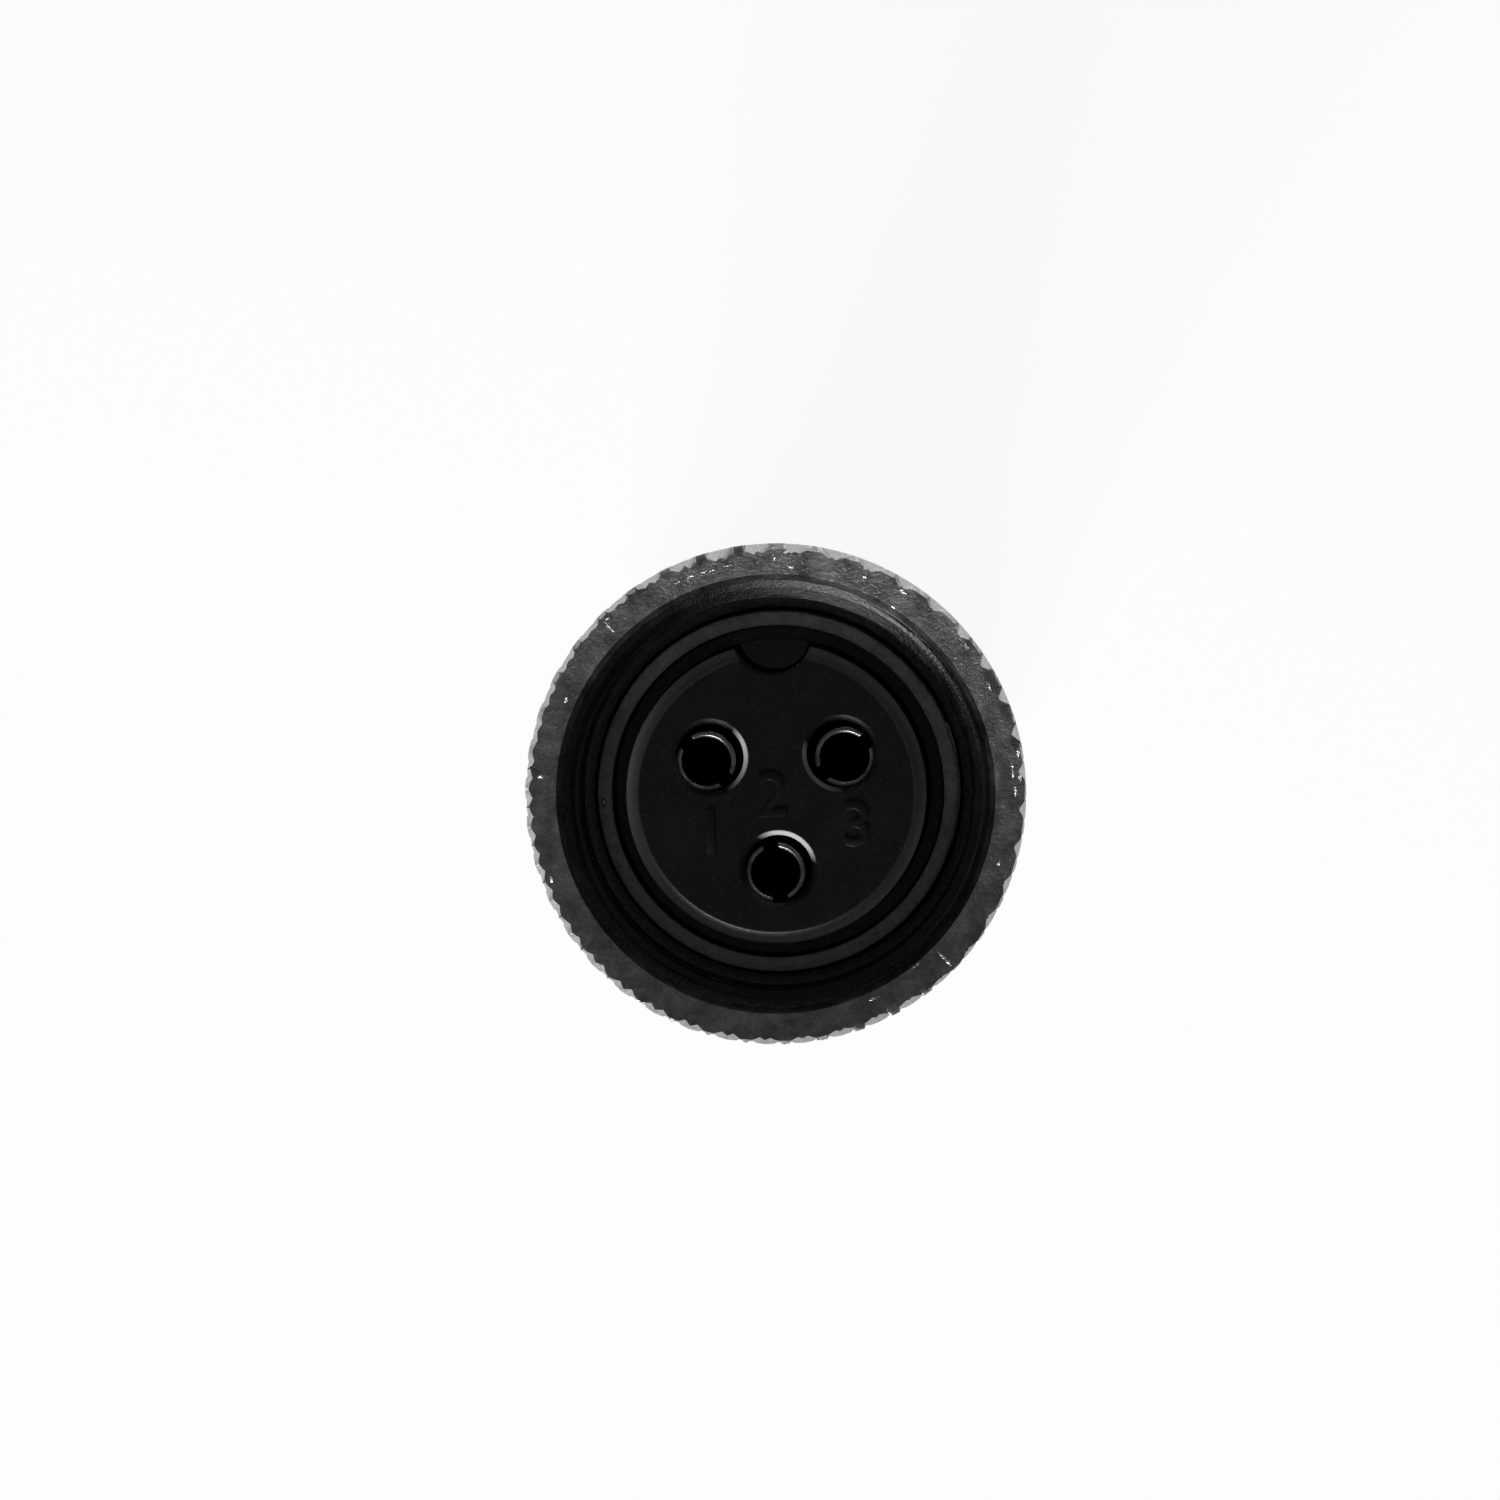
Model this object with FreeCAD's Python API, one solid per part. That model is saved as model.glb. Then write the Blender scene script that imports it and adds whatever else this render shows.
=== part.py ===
"""Three-pole circular cable plug ("aviation connector") with knurled coupling nut.

The plug stands on its cable clamp. Z runs along the plug's axis, from the tail end (z = 0) up to
the face of the coupling nut. The keyway of the insert points to +Y, and the clamp parts in the
plane y = 0, with the loose strap on its +Y side. All sizes are in millimetres.
"""
import FreeCAD, Part
import math
import os

Vector = FreeCAD.Vector
ORIGIN = Vector(0, 0, 0)
X_AXIS = Vector(1, 0, 0)
Y_AXIS = Vector(0, 1, 0)
Z_AXIS = Vector(0, 0, 1)

# Whole plug
overall_length = 37.0
nut_diameter = 19.0

# Clearances shared by mating pieces
turning_clearance = 0.08
seat_clearance = 0.05
shell_gap = 0.3

# Coupling nut
nut_length = 11.5
nut_band_step = 0.5
nut_rear_chamfer = 0.4
knurl_teeth = 40
knurl_depth = 0.32
knurl_land = 0.3
knurl_length = 8.4
knurl_helix = 31.0
knurl_end_chamfer = 0.1
thread_wall = 2.0415
thread_length = 6.1
mouth_wall = 1.17
relief_depth = 0.59
relief_width = 0.5
floor_slope_height = 0.6
lip_edge_chamfer = 0.25
nut_band_diameter = nut_diameter - 2 * nut_band_step
thread_minor_diameter = nut_diameter - 2 * thread_wall
mouth_diameter = nut_diameter - 2 * mouth_wall

# Barrel
barrel_thread_gap = 1.017
barrel_wall = 0.59
nose_depth = 5.5
barrel_edge_chamfer = 0.1
shoulder_thickness = 1.6
barrel_thread_step = 0.2
barrel_thread_length = 5.2
key_radius = 1.4
barrel_diameter = thread_minor_diameter - barrel_thread_gap
nose_bore_diameter = barrel_diameter - 2 * barrel_wall
barrel_thread_diameter = barrel_diameter - 2 * barrel_thread_step

# Wire ring that holds the nut
nut_ring_wire = 0.8
nut_ring_height = 1.9
nut_ring_opening = 40.0
nut_ring_play = 0.1

# Insert
insert_depth = 1.4
insert_gap = 1.28
insert_nose_length = 4.6
insert_neck_step = 0.32
insert_bevel = 0.31
flange_step = 0.33
flange_length = 2.2
keyway_radius = 1.56
keyway_rise = 0.38
insert_nose_diameter = nose_bore_diameter - insert_gap
insert_neck_diameter = insert_nose_diameter - 2 * insert_neck_step
shoulder_bore_diameter = insert_nose_diameter + flange_step - seat_clearance
flange_diameter = insert_nose_diameter + 2 * flange_step
rear_bore_diameter = flange_diameter + 2 * seat_clearance
keyway_offset = insert_nose_diameter / 2 + keyway_rise

# Cavities, as shares of the insert's diameter
cavity_diameter = 0.2448 * insert_nose_diameter
cavity_circle_radius = 0.251 * insert_nose_diameter
cavity_chamfer = 0.08
cavity_angles = (300.0, 180.0, 60.0)

# Socket contacts
contact_play = 0.23
contact_wall = 0.24
contact_bore_depth = 7.5
contact_recess = 0.7
contact_lead_in = 0.12
contact_slot_width = 0.6
contact_slot_depth = 5.5
contact_slot_angles = (135.0, 171.0, 56.0)
contact_float = ((-0.15, -0.15), (-0.13, -0.15), (0.15, -0.15))
collar_step = 0.58
collar_height = 0.9
collar_play = 0.1
float_room = 0.25
tail_step = 0.07
tail_length = 7.2
cup_wall = 0.3
cup_depth = 3.2
cup_opening = 2.0
contact_diameter = cavity_diameter - 2 * contact_play
contact_bore_diameter = contact_diameter - 2 * contact_wall
collar_diameter = contact_diameter + 2 * collar_step
tail_diameter = contact_diameter - 2 * tail_step
cup_bore_diameter = tail_diameter - 2 * cup_wall

# Rear insulator and the ring behind it
rear_insulator_thickness = 1.5
insert_ring_thickness = 0.7
insert_ring_width = 0.6
insert_ring_groove_depth = 0.3
insert_ring_opening = 50.0
insert_ring_inner_diameter = rear_bore_diameter - 2 * insert_ring_width

# Backshell, its clamp and its cone at shares of the whole length
collar_step_back = 0.8
backshell_collar_length = 3.8
backshell_collar_slope = 0.7
backshell_chamfer = 0.3
body_step = 1.1
tail_ring_step = 1.1
cavity_step = 0.45
thread_engagement_spare = 0.4
cable_bore_diameter = 6.2
ear_height = 0.195 * overall_length
cone_top = 0.338 * overall_length
tail_ring_height = ear_height + 1.2
taper_bottom_height = tail_ring_height + 0.2
cable_bore_top = tail_ring_height + 1.2
taper_top_height = cone_top + 0.1
collar_outer_diameter = nut_band_diameter - 2 * collar_step_back
body_diameter = collar_outer_diameter - 2 * body_step
tail_ring_diameter = body_diameter - 2 * tail_ring_step
cavity_bore_diameter = barrel_thread_diameter - 2 * cavity_step

# Cable clamp
saddle_wall = 1.5
strap_wall = 0.85
clamp_opening = 0.6
ear_reach = 2.5
ear_margin = 1.65
ear_corner_radius = 0.9
saddle_ear_thickness = 1.9
strap_ear_thickness = 1.0
clamp_screw_diameter = 1.9
clamp_screw_end = 0.4
strap_hole_clearance = 0.15
screw_head_diameter = 3.3
screw_head_height = 1.3
screw_head_round = 0.7
screw_slot_width = 0.4
screw_slot_depth = 0.6
washer_thickness = 0.5
washer_diameter = 3.1
washer_opening = 0.3
ear_width = cable_bore_diameter + 2 * (saddle_wall + ear_reach)
clamp_screw_spacing = ear_width - 2 * ear_margin
clamp_screw_height = ear_height / 2

# Locking screw
locking_screw_diameter = 1.6
locking_screw_drop = 1.9
locking_slot_width = 0.3
locking_slot_depth = 0.4

# Insulating sleeve
sleeve_wall = 0.6
sleeve_spare = 0.85

# Stations along the axis
nut_rear_z = overall_length - nut_length
knurl_bottom_z = overall_length - knurl_length
barrel_front_z = overall_length - nose_depth
insert_front_z = overall_length - insert_depth
backshell_front_z = nut_rear_z - shell_gap
barrel_rear_z = backshell_front_z - barrel_thread_length
shoulder_top_z = nut_rear_z + nut_ring_height + nut_ring_wire
shoulder_bottom_z = shoulder_top_z - shoulder_thickness
flange_bottom_z = shoulder_bottom_z - flange_length
rear_insulator_bottom_z = flange_bottom_z - rear_insulator_thickness
insert_ring_bottom_z = rear_insulator_bottom_z - insert_ring_thickness
contact_tip_z = insert_front_z - contact_recess
nut_ring_z = nut_rear_z + nut_ring_height
lip_bore_radius = barrel_diameter / 2 + turning_clearance
backshell_thread_radius = barrel_thread_diameter / 2 + seat_clearance
clamp_half_gap = clamp_opening / 2
locking_screw_height = backshell_front_z - locking_screw_drop


def polygon_face(points):
    """Flat face in the XZ plane from (radius, height) corners."""
    corners = [Vector(radius, 0, height) for radius, height in points]
    return Part.Face(Part.makePolygon(corners + corners[:1]))


def turned(points):
    """Solid turned about the axis from (radius, height) corners."""
    return polygon_face(points).revolve(ORIGIN, Z_AXIS, 360)


def rod(diameter, bottom, top, x=0.0, y=0.0):
    """Upright cylinder between two heights."""
    return Part.makeCylinder(diameter / 2, top - bottom, Vector(x, y, bottom), Z_AXIS)


def block(x_range, y_range, z_range):
    """Box between two corners."""
    size = [high - low for low, high in (x_range, y_range, z_range)]
    return Part.makeBox(size[0], size[1], size[2], Vector(x_range[0], y_range[0], z_range[0]))


def sector(opening, height, bottom, reach):
    """Wedge about the +X direction, used to open a ring."""
    half = math.radians(opening) / 2
    corners = [
        Vector(0, 0, bottom),
        Vector(reach * math.cos(half), -reach * math.sin(half), bottom),
        Vector(reach * math.cos(half), reach * math.sin(half), bottom),
    ]
    return Part.Face(Part.makePolygon(corners + corners[:1])).extrude(Z_AXIS * height)


def clock_point(angle, radius):
    """Point at a clockwise angle from the keyway, as seen from the mating side."""
    turn = math.radians(angle)
    return radius * math.sin(turn), radius * math.cos(turn)


def knurl_rows():
    """Number of half rows that gives the knurl its helix angle."""
    half_pitch = math.pi * nut_diameter / knurl_teeth / 2
    return max(2, round(knurl_length * math.tan(math.radians(knurl_helix)) / half_pitch))


def knurl_point(column, row, radius):
    """Point on the knurl at a column and row, which may lie between whole ones."""
    turn = math.pi * column / knurl_teeth
    height = knurl_bottom_z + knurl_length * row / knurl_rows()
    return Vector(radius * math.cos(turn), radius * math.sin(turn), height)


def groove_point(column, row):
    """Place where two grooves of the knurl cross."""
    return knurl_point(column, row, nut_diameter / 2 - knurl_depth)


def land_point(column, row):
    """Point on a diamond's flat top, a little lower on the knurl's two end rows."""
    end = knurl_end_chamfer if row in (0, knurl_rows()) else 0
    return knurl_point(column, row, nut_diameter / 2 - end)


def knurl_corner(column, row, beside, above):
    """Quarter of a diamond: a piece of its flat top and the flank down to its groove."""
    top = land_point(column, row)
    side = land_point(column + beside * knurl_land, row)
    peak = land_point(column, row + above * knurl_land)
    side_groove = groove_point(column + beside, row)
    peak_groove = groove_point(column, row + above)
    triangles = [(top, side, peak), (side, side_groove, peak), (side_groove, peak_groove, peak)]
    if beside * above < 0:
        triangles = [corners[::-1] for corners in triangles]
    return [Part.Face(Part.makePolygon(list(corners) + [corners[0]])) for corners in triangles]


def knurl_facets():
    """All quarters of the flat-topped diamonds, whose centres stand at odd places."""
    rows = knurl_rows()
    facets = []
    for column in range(2 * knurl_teeth):
        for row in range(rows + 1):
            if (column + row) % 2:
                for beside in (-1, 1):
                    if row > 0:
                        facets += knurl_corner(column, row, beside, -1)
                    if row < rows:
                        facets += knurl_corner(column, row, beside, 1)
    return facets


def knurl_end(row, circle_radius, height):
    """Flat ring between the knurl's toothed outline and a circle."""
    outline = []
    for column in range(2 * knurl_teeth):
        if (column + row) % 2:
            outline.append(land_point(column - knurl_land, row))
            outline.append(land_point(column, row))
            outline.append(land_point(column + knurl_land, row))
        else:
            outline.append(groove_point(column, row))
    toothed = Part.Wire(Part.makePolygon(outline + outline[:1]).Edges)
    circle = Part.Wire(Part.makeCircle(circle_radius, Vector(0, 0, height), Z_AXIS))
    return Part.makeFace([toothed, circle], "Part::FaceMakerBullseye")


def coupling_nut():
    """Knurled nut with chamfered mouth, thread bore, relief, sloping floor, ring groove and lip."""
    minor = thread_minor_diameter / 2
    mouth = mouth_diameter / 2
    relief = minor + relief_depth
    band = nut_band_diameter / 2
    thread_bottom = overall_length - (mouth - minor) - thread_length
    floor_top = thread_bottom - relief_width
    floor_bottom = floor_top - floor_slope_height
    groove = lip_bore_radius + nut_ring_wire / 2
    groove_half = nut_ring_wire / 2 + nut_ring_play
    profile = [
        (mouth, overall_length),
        (minor, overall_length - (mouth - minor)),
        (minor, thread_bottom),
        (relief, thread_bottom),
        (relief, floor_top),
        (lip_bore_radius, floor_bottom),
        (lip_bore_radius, nut_ring_z + groove_half),
        (groove, nut_ring_z + groove_half),
        (groove, nut_ring_z - groove_half),
        (lip_bore_radius, nut_ring_z - groove_half),
        (lip_bore_radius, nut_rear_z + lip_edge_chamfer),
        (lip_bore_radius + lip_edge_chamfer, nut_rear_z),
        (band - nut_rear_chamfer, nut_rear_z),
        (band, nut_rear_z + nut_rear_chamfer),
        (band, knurl_bottom_z),
    ]
    wire = Part.makePolygon([Vector(radius, 0, height) for radius, height in profile])
    walls = wire.revolve(ORIGIN, Z_AXIS, 360).Faces
    faces = knurl_facets() + walls
    faces.append(knurl_end(knurl_rows(), mouth, overall_length))
    faces.append(knurl_end(0, band, knurl_bottom_z))
    shell = Part.Shell(faces)
    shell.sewShape()
    solid = Part.Solid(shell.Shells[0] if shell.ShapeType != "Shell" else shell)
    if solid.Volume < 0:
        solid.reverse()
    return solid


def barrel():
    """Tube with the insert's shoulder and key, the groove for the nut's ring and a rear thread."""
    outer = barrel_diameter / 2
    nose = nose_bore_diameter / 2
    shoulder = shoulder_bore_diameter / 2
    rear = rear_bore_diameter / 2
    thread = barrel_thread_diameter / 2
    edge = barrel_edge_chamfer
    groove = outer - nut_ring_wire / 2 - seat_clearance / 2
    groove_half = nut_ring_wire / 2 + seat_clearance / 2
    ring_groove = rear + insert_ring_groove_depth
    ring_top = rear_insulator_bottom_z
    profile = [
        (nose + edge, barrel_front_z),
        (outer - edge, barrel_front_z),
        (outer, barrel_front_z - edge),
        (outer, nut_ring_z + groove_half),
        (groove, nut_ring_z + groove_half),
        (groove, nut_ring_z - groove_half),
        (outer, nut_ring_z - groove_half),
        (outer, backshell_front_z),
        (thread, backshell_front_z),
        (thread, barrel_rear_z + edge),
        (thread - edge, barrel_rear_z),
        (rear, barrel_rear_z),
        (rear, insert_ring_bottom_z),
        (ring_groove, insert_ring_bottom_z),
        (ring_groove, ring_top),
        (rear, ring_top),
        (rear, shoulder_bottom_z),
        (shoulder, shoulder_bottom_z),
        (shoulder, shoulder_top_z),
        (nose, shoulder_top_z),
        (nose, barrel_front_z - edge),
    ]
    key = rod(2 * key_radius, shoulder_bottom_z, shoulder_top_z, 0, keyway_offset)
    key = key.common(rod(2 * (shoulder + seat_clearance), shoulder_bottom_z, shoulder_top_z))
    return turned(profile).fuse(key).removeSplitter()


def nut_retaining_ring():
    """Split wire ring, half in the barrel's groove and half in the nut's."""
    ring = Part.makeTorus(barrel_diameter / 2, nut_ring_wire / 2, Vector(0, 0, nut_ring_z), Z_AXIS)
    opening = sector(nut_ring_opening, 2 * nut_ring_wire, nut_ring_z - nut_ring_wire, nut_diameter)
    return ring.cut(opening)


def cavity_centres():
    """Centres of the three contact cavities."""
    return [clock_point(angle, cavity_circle_radius) for angle in cavity_angles]


def contact_centres():
    """Centres of the contacts, which sit a little off their cavities."""
    return [
        (x + shift[0], y + shift[1])
        for (x, y), shift in zip(cavity_centres(), contact_float)
    ]


def contact_insert():
    """Moulded insert with bevelled nose, keyway, stepped cavities, thinner neck and rear flange."""
    nose = insert_nose_diameter / 2
    neck = insert_neck_diameter / 2
    nose_bottom = insert_front_z - insert_nose_length
    body = turned([
        (0, flange_bottom_z),
        (flange_diameter / 2, flange_bottom_z),
        (flange_diameter / 2, shoulder_bottom_z),
        (neck, shoulder_bottom_z),
        (neck, nose_bottom),
        (nose, nose_bottom),
        (nose, insert_front_z - insert_bevel),
        (nose - insert_bevel, insert_front_z),
        (0, insert_front_z),
    ])
    cuts = [rod(2 * keyway_radius, shoulder_bottom_z, overall_length, 0, keyway_offset)]
    counterbore = collar_diameter + 2 * float_room
    counterbore_top = flange_bottom_z + collar_height + collar_play
    mouth = cavity_diameter / 2 + cavity_chamfer
    for x, y in cavity_centres():
        cuts.append(rod(cavity_diameter, flange_bottom_z, overall_length, x, y))
        cuts.append(rod(counterbore, flange_bottom_z, counterbore_top, x, y))
        cuts.append(Part.makeCone(
            cavity_diameter / 2, mouth, cavity_chamfer,
            Vector(x, y, insert_front_z - cavity_chamfer), Z_AXIS,
        ))
    return body.cut(cuts)


def socket_contact(centre, slot_angle):
    """Turned contact: slotted socket in front, collar, and a solder cup open on one side."""
    x, y = centre
    collar_top = flange_bottom_z + collar_height
    tail_bottom = flange_bottom_z - tail_length
    bore_bottom = contact_tip_z - contact_bore_depth
    bore = contact_bore_diameter / 2
    tip = contact_diameter / 2
    contact = turned([
        (0, tail_bottom),
        (tail_diameter / 2, tail_bottom),
        (tail_diameter / 2, flange_bottom_z),
        (collar_diameter / 2, flange_bottom_z),
        (collar_diameter / 2, collar_top),
        (tip, collar_top),
        (tip, contact_tip_z),
        (bore + contact_lead_in, contact_tip_z),
        (bore, contact_tip_z - contact_lead_in),
        (bore, bore_bottom),
        (0, bore_bottom - bore),
    ])
    cup = rod(cup_bore_diameter, tail_bottom, tail_bottom + cup_depth)
    cup_side = block(
        (0, tail_diameter), (-tail_diameter, tail_diameter), (tail_bottom, tail_bottom + cup_opening)
    )
    slot = block(
        (-contact_slot_width / 2, contact_slot_width / 2),
        (-contact_diameter, contact_diameter),
        (contact_tip_z - contact_slot_depth, overall_length),
    )
    slot.rotate(ORIGIN, Z_AXIS, -slot_angle)
    cup_side.rotate(ORIGIN, Z_AXIS, math.degrees(math.atan2(y, x)))
    contact = contact.cut([cup, cup_side, slot])
    contact.translate(Vector(x, y, 0))
    return contact


def rear_insulator():
    """Disc that closes the cavities behind the contacts' collars."""
    plate = rod(flange_diameter, rear_insulator_bottom_z, flange_bottom_z)
    hole = tail_diameter + 2 * float_room
    holes = [rod(hole, rear_insulator_bottom_z, flange_bottom_z, x, y) for x, y in cavity_centres()]
    return plate.cut(holes)


def insert_retaining_ring():
    """Flat split ring in the barrel's bore, behind the rear insulator."""
    outer = rear_bore_diameter + 2 * insert_ring_groove_depth - seat_clearance
    ring = rod(outer, insert_ring_bottom_z, rear_insulator_bottom_z)
    ring = ring.cut(rod(insert_ring_inner_diameter, insert_ring_bottom_z, rear_insulator_bottom_z))
    return ring.cut(sector(insert_ring_opening, insert_ring_thickness, insert_ring_bottom_z, outer))


def locking_hole(diameter, inner, outer):
    """Cylinder through the wall of the backshell's collar, on its -Y side."""
    return Part.makeCylinder(
        diameter / 2, outer - inner, Vector(0, -inner, locking_screw_height), -Y_AXIS
    )


def rounded_plate(x_range, y_range, z_range):
    """Plate standing across Y, with its outer corners rounded."""
    plate = block(x_range, y_range, z_range)
    edges = [
        edge for edge in plate.Edges
        if abs(edge.tangentAt(edge.FirstParameter).y) > 0.5
        and edge.CenterOfMass.z > clamp_screw_height
    ]
    return plate.makeFillet(ear_corner_radius, edges)


def screw_places():
    """Distances of the two clamp screws from the axis, right one first."""
    return (clamp_screw_spacing / 2, -clamp_screw_spacing / 2)


def cross_hole(diameter, y_from, y_to, x):
    """Cylinder along Y at a clamp screw's place."""
    return Part.makeCylinder(
        diameter / 2, y_to - y_from, Vector(x, y_from, clamp_screw_height), Y_AXIS
    )


def backshell():
    """Rear shell: threaded collar, cavity for the wires, taper and the fixed half of the clamp."""
    collar = collar_outer_diameter / 2
    body = body_diameter / 2
    tail = tail_ring_diameter / 2
    cable = cable_bore_diameter / 2
    cavity = cavity_bore_diameter / 2
    collar_bottom = backshell_front_z - backshell_collar_length
    thread_bottom = barrel_rear_z - thread_engagement_spare
    shell = turned([
        (backshell_thread_radius, backshell_front_z),
        (collar - backshell_chamfer, backshell_front_z),
        (collar, backshell_front_z - backshell_chamfer),
        (collar, collar_bottom),
        (body, collar_bottom - backshell_collar_slope),
        (body, taper_top_height),
        (tail, taper_bottom_height),
        (tail, tail_ring_height),
        (cable, tail_ring_height),
        (cable, cable_bore_top),
        (cavity, cone_top),
        (cavity, thread_bottom),
        (backshell_thread_radius, thread_bottom),
    ])
    saddle = rod(cable_bore_diameter + 2 * saddle_wall, 0, tail_ring_height)
    ears = rounded_plate(
        (-ear_width / 2, ear_width / 2),
        (-clamp_half_gap - saddle_ear_thickness, -clamp_half_gap),
        (0, ear_height),
    )
    saddle = saddle.fuse(ears).cut(block(
        (-ear_width, ear_width), (-clamp_half_gap, ear_width), (0, tail_ring_height)
    ))
    shell = shell.fuse(saddle)
    cuts = [rod(cable_bore_diameter, 0, cable_bore_top)]
    cuts.append(locking_hole(locking_screw_diameter + 2 * seat_clearance, cavity, collar + 1))
    hole = clamp_screw_diameter + seat_clearance
    for x in screw_places():
        cuts.append(cross_hole(hole, -ear_width, 0, x))
    return shell.cut(cuts).removeSplitter()


def locking_screw():
    """Slotted grub screw, flush with the collar, its end against the barrel's thread."""
    inner = backshell_thread_radius
    outer = collar_outer_diameter / 2 - seat_clearance
    screw = locking_hole(locking_screw_diameter, inner, outer)
    slot = block(
        (-locking_screw_diameter, locking_screw_diameter),
        (-outer, -outer + locking_slot_depth),
        (locking_screw_height - locking_slot_width / 2, locking_screw_height + locking_slot_width / 2),
    )
    return screw.cut(slot)


def clamp_strap():
    """Loose half of the clamp: an arch over the cable with an ear at each side."""
    arch = rod(cable_bore_diameter + 2 * strap_wall, 0, ear_height)
    ears = rounded_plate(
        (-ear_width / 2, ear_width / 2),
        (clamp_half_gap, clamp_half_gap + strap_ear_thickness),
        (0, ear_height),
    )
    cuts = [
        block((-ear_width, ear_width), (-ear_width, clamp_half_gap), (0, ear_height)),
        rod(cable_bore_diameter, 0, ear_height),
    ]
    hole = clamp_screw_diameter + 2 * strap_hole_clearance
    for x in screw_places():
        cuts.append(cross_hole(hole, 0, ear_width, x))
    return arch.fuse(ears).cut(cuts).removeSplitter()


def clamp_screw(x):
    """Pan-head screw with a slot, screwed through the strap into the fixed ear."""
    seat = clamp_half_gap + strap_ear_thickness + washer_thickness
    end = -clamp_half_gap - saddle_ear_thickness - clamp_screw_end
    head = screw_head_diameter / 2
    top = seat + screw_head_height
    pan = Part.makeCylinder(head, screw_head_height, Vector(0, seat, 0), Y_AXIS)
    rim = [edge for edge in pan.Edges if edge.CenterOfMass.y > top - seat_clearance]
    pan = pan.makeFillet(screw_head_round, rim)
    shank = Part.makeCylinder(clamp_screw_diameter / 2, seat - end, Vector(0, end, 0), Y_AXIS)
    screw = pan.fuse(shank).removeSplitter()
    slot = block(
        (-head, head), (top - screw_slot_depth, top), (-screw_slot_width / 2, screw_slot_width / 2)
    )
    screw = screw.cut(slot)
    screw.translate(Vector(x, 0, clamp_screw_height))
    return screw


def clamp_washer(x):
    """Split spring washer between the strap and a screw's head."""
    low = clamp_half_gap + strap_ear_thickness
    high = low + washer_thickness
    washer = cross_hole(washer_diameter, low, high, x)
    washer = washer.cut(cross_hole(clamp_screw_diameter + 2 * seat_clearance, low, high, x))
    gap = block(
        (x - washer_opening / 2, x + washer_opening / 2),
        (low, high),
        (clamp_screw_height, clamp_screw_height + washer_diameter),
    )
    return washer.cut(gap)


def insulating_sleeve():
    """Plastic tube round the solder cups, standing on the cone of the backshell's cavity."""
    outer = cavity_bore_diameter - 2 * seat_clearance
    bottom = cone_top + seat_clearance
    top = barrel_rear_z - sleeve_spare
    return rod(outer, bottom, top).cut(rod(outer - 2 * sleeve_wall, bottom, top))


def build():
    """All pieces by node name."""
    pieces = {
        "coupling_nut": coupling_nut(),
        "barrel": barrel(),
        "nut_retaining_ring": nut_retaining_ring(),
        "contact_insert": contact_insert(),
        "rear_insulator": rear_insulator(),
        "insert_retaining_ring": insert_retaining_ring(),
        "backshell": backshell(),
        "locking_screw": locking_screw(),
        "insulating_sleeve": insulating_sleeve(),
        "clamp_strap": clamp_strap(),
    }
    for number, (centre, angle) in enumerate(zip(contact_centres(), contact_slot_angles), 1):
        pieces["socket_contact_%d" % number] = socket_contact(centre, angle)
    for side, x in zip(("right", "left"), screw_places()):
        pieces["clamp_screw_" + side] = clamp_screw(x)
        pieces["clamp_washer_" + side] = clamp_washer(x)
    return pieces


os.makedirs("parts", exist_ok=True)
for name, shape in build().items():
    solid = shape.Solids[0] if len(shape.Solids) == 1 else shape
    solid.exportStep("parts/%s.step" % name)
    print("%-24s solids %d valid %s volume %.3f" % (name, len(shape.Solids), shape.isValid(), shape.Volume))
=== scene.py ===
"""Looks of a three-pole circular cable plug, built round its packed construction model.

The file is laid out as an add-on and run as a script. Each operator models one piece, or one group
of like pieces, in metres in the plug's own frame: Z runs along the plug, the keyway points to +Y.
"""

import math

import bmesh
import bpy
from mathutils import Euler, Matrix, Vector, noise


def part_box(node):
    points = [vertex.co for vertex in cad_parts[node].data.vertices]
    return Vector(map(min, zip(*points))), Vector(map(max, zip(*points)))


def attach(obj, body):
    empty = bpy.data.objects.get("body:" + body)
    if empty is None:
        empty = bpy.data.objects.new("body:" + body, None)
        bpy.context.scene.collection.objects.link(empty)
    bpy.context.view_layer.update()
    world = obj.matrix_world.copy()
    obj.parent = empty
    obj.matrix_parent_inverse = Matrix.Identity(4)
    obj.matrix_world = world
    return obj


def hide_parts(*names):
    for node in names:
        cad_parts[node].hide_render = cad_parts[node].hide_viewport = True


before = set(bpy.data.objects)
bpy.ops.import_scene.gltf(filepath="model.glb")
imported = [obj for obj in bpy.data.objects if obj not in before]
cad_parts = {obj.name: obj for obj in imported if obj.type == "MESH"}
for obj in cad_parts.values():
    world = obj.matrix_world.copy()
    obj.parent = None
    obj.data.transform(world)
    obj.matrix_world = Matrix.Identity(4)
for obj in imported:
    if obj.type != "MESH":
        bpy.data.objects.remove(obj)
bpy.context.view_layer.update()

bl_info = {
    "name": "Cable plug looks",
    "version": (1, 0, 0),
    "blender": (4, 5, 0),
    "location": "3D View > Sidebar > Cable plug",
    "description": "Models and finishes the pieces of a circular cable plug",
    "category": "Object",
}

MM = 0.001
TURN = 2 * math.pi
PLUG_BODY = "plug_body"
NUT_BODY = "nut"
MERGE_DISTANCE = 0.0006 * MM
CUT_THRESHOLD = 0.0002 * MM
NEAR = 0.004 * MM
NO_AREA = 1e-7 * MM ** 2
ARC_STEPS = 4
ARC_SHARE = 0.45
TURNED_STEPS = 128
NUT_STEPS = 240
BODY_STEPS = 160
CAVITY_STEPS = 64
SCREW_STEPS = 64
FLOOR_STEPS = 96
SMALL_STEPS = 48
EDGE = 0.12 * MM
FINE_EDGE = 0.03 * MM

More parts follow.
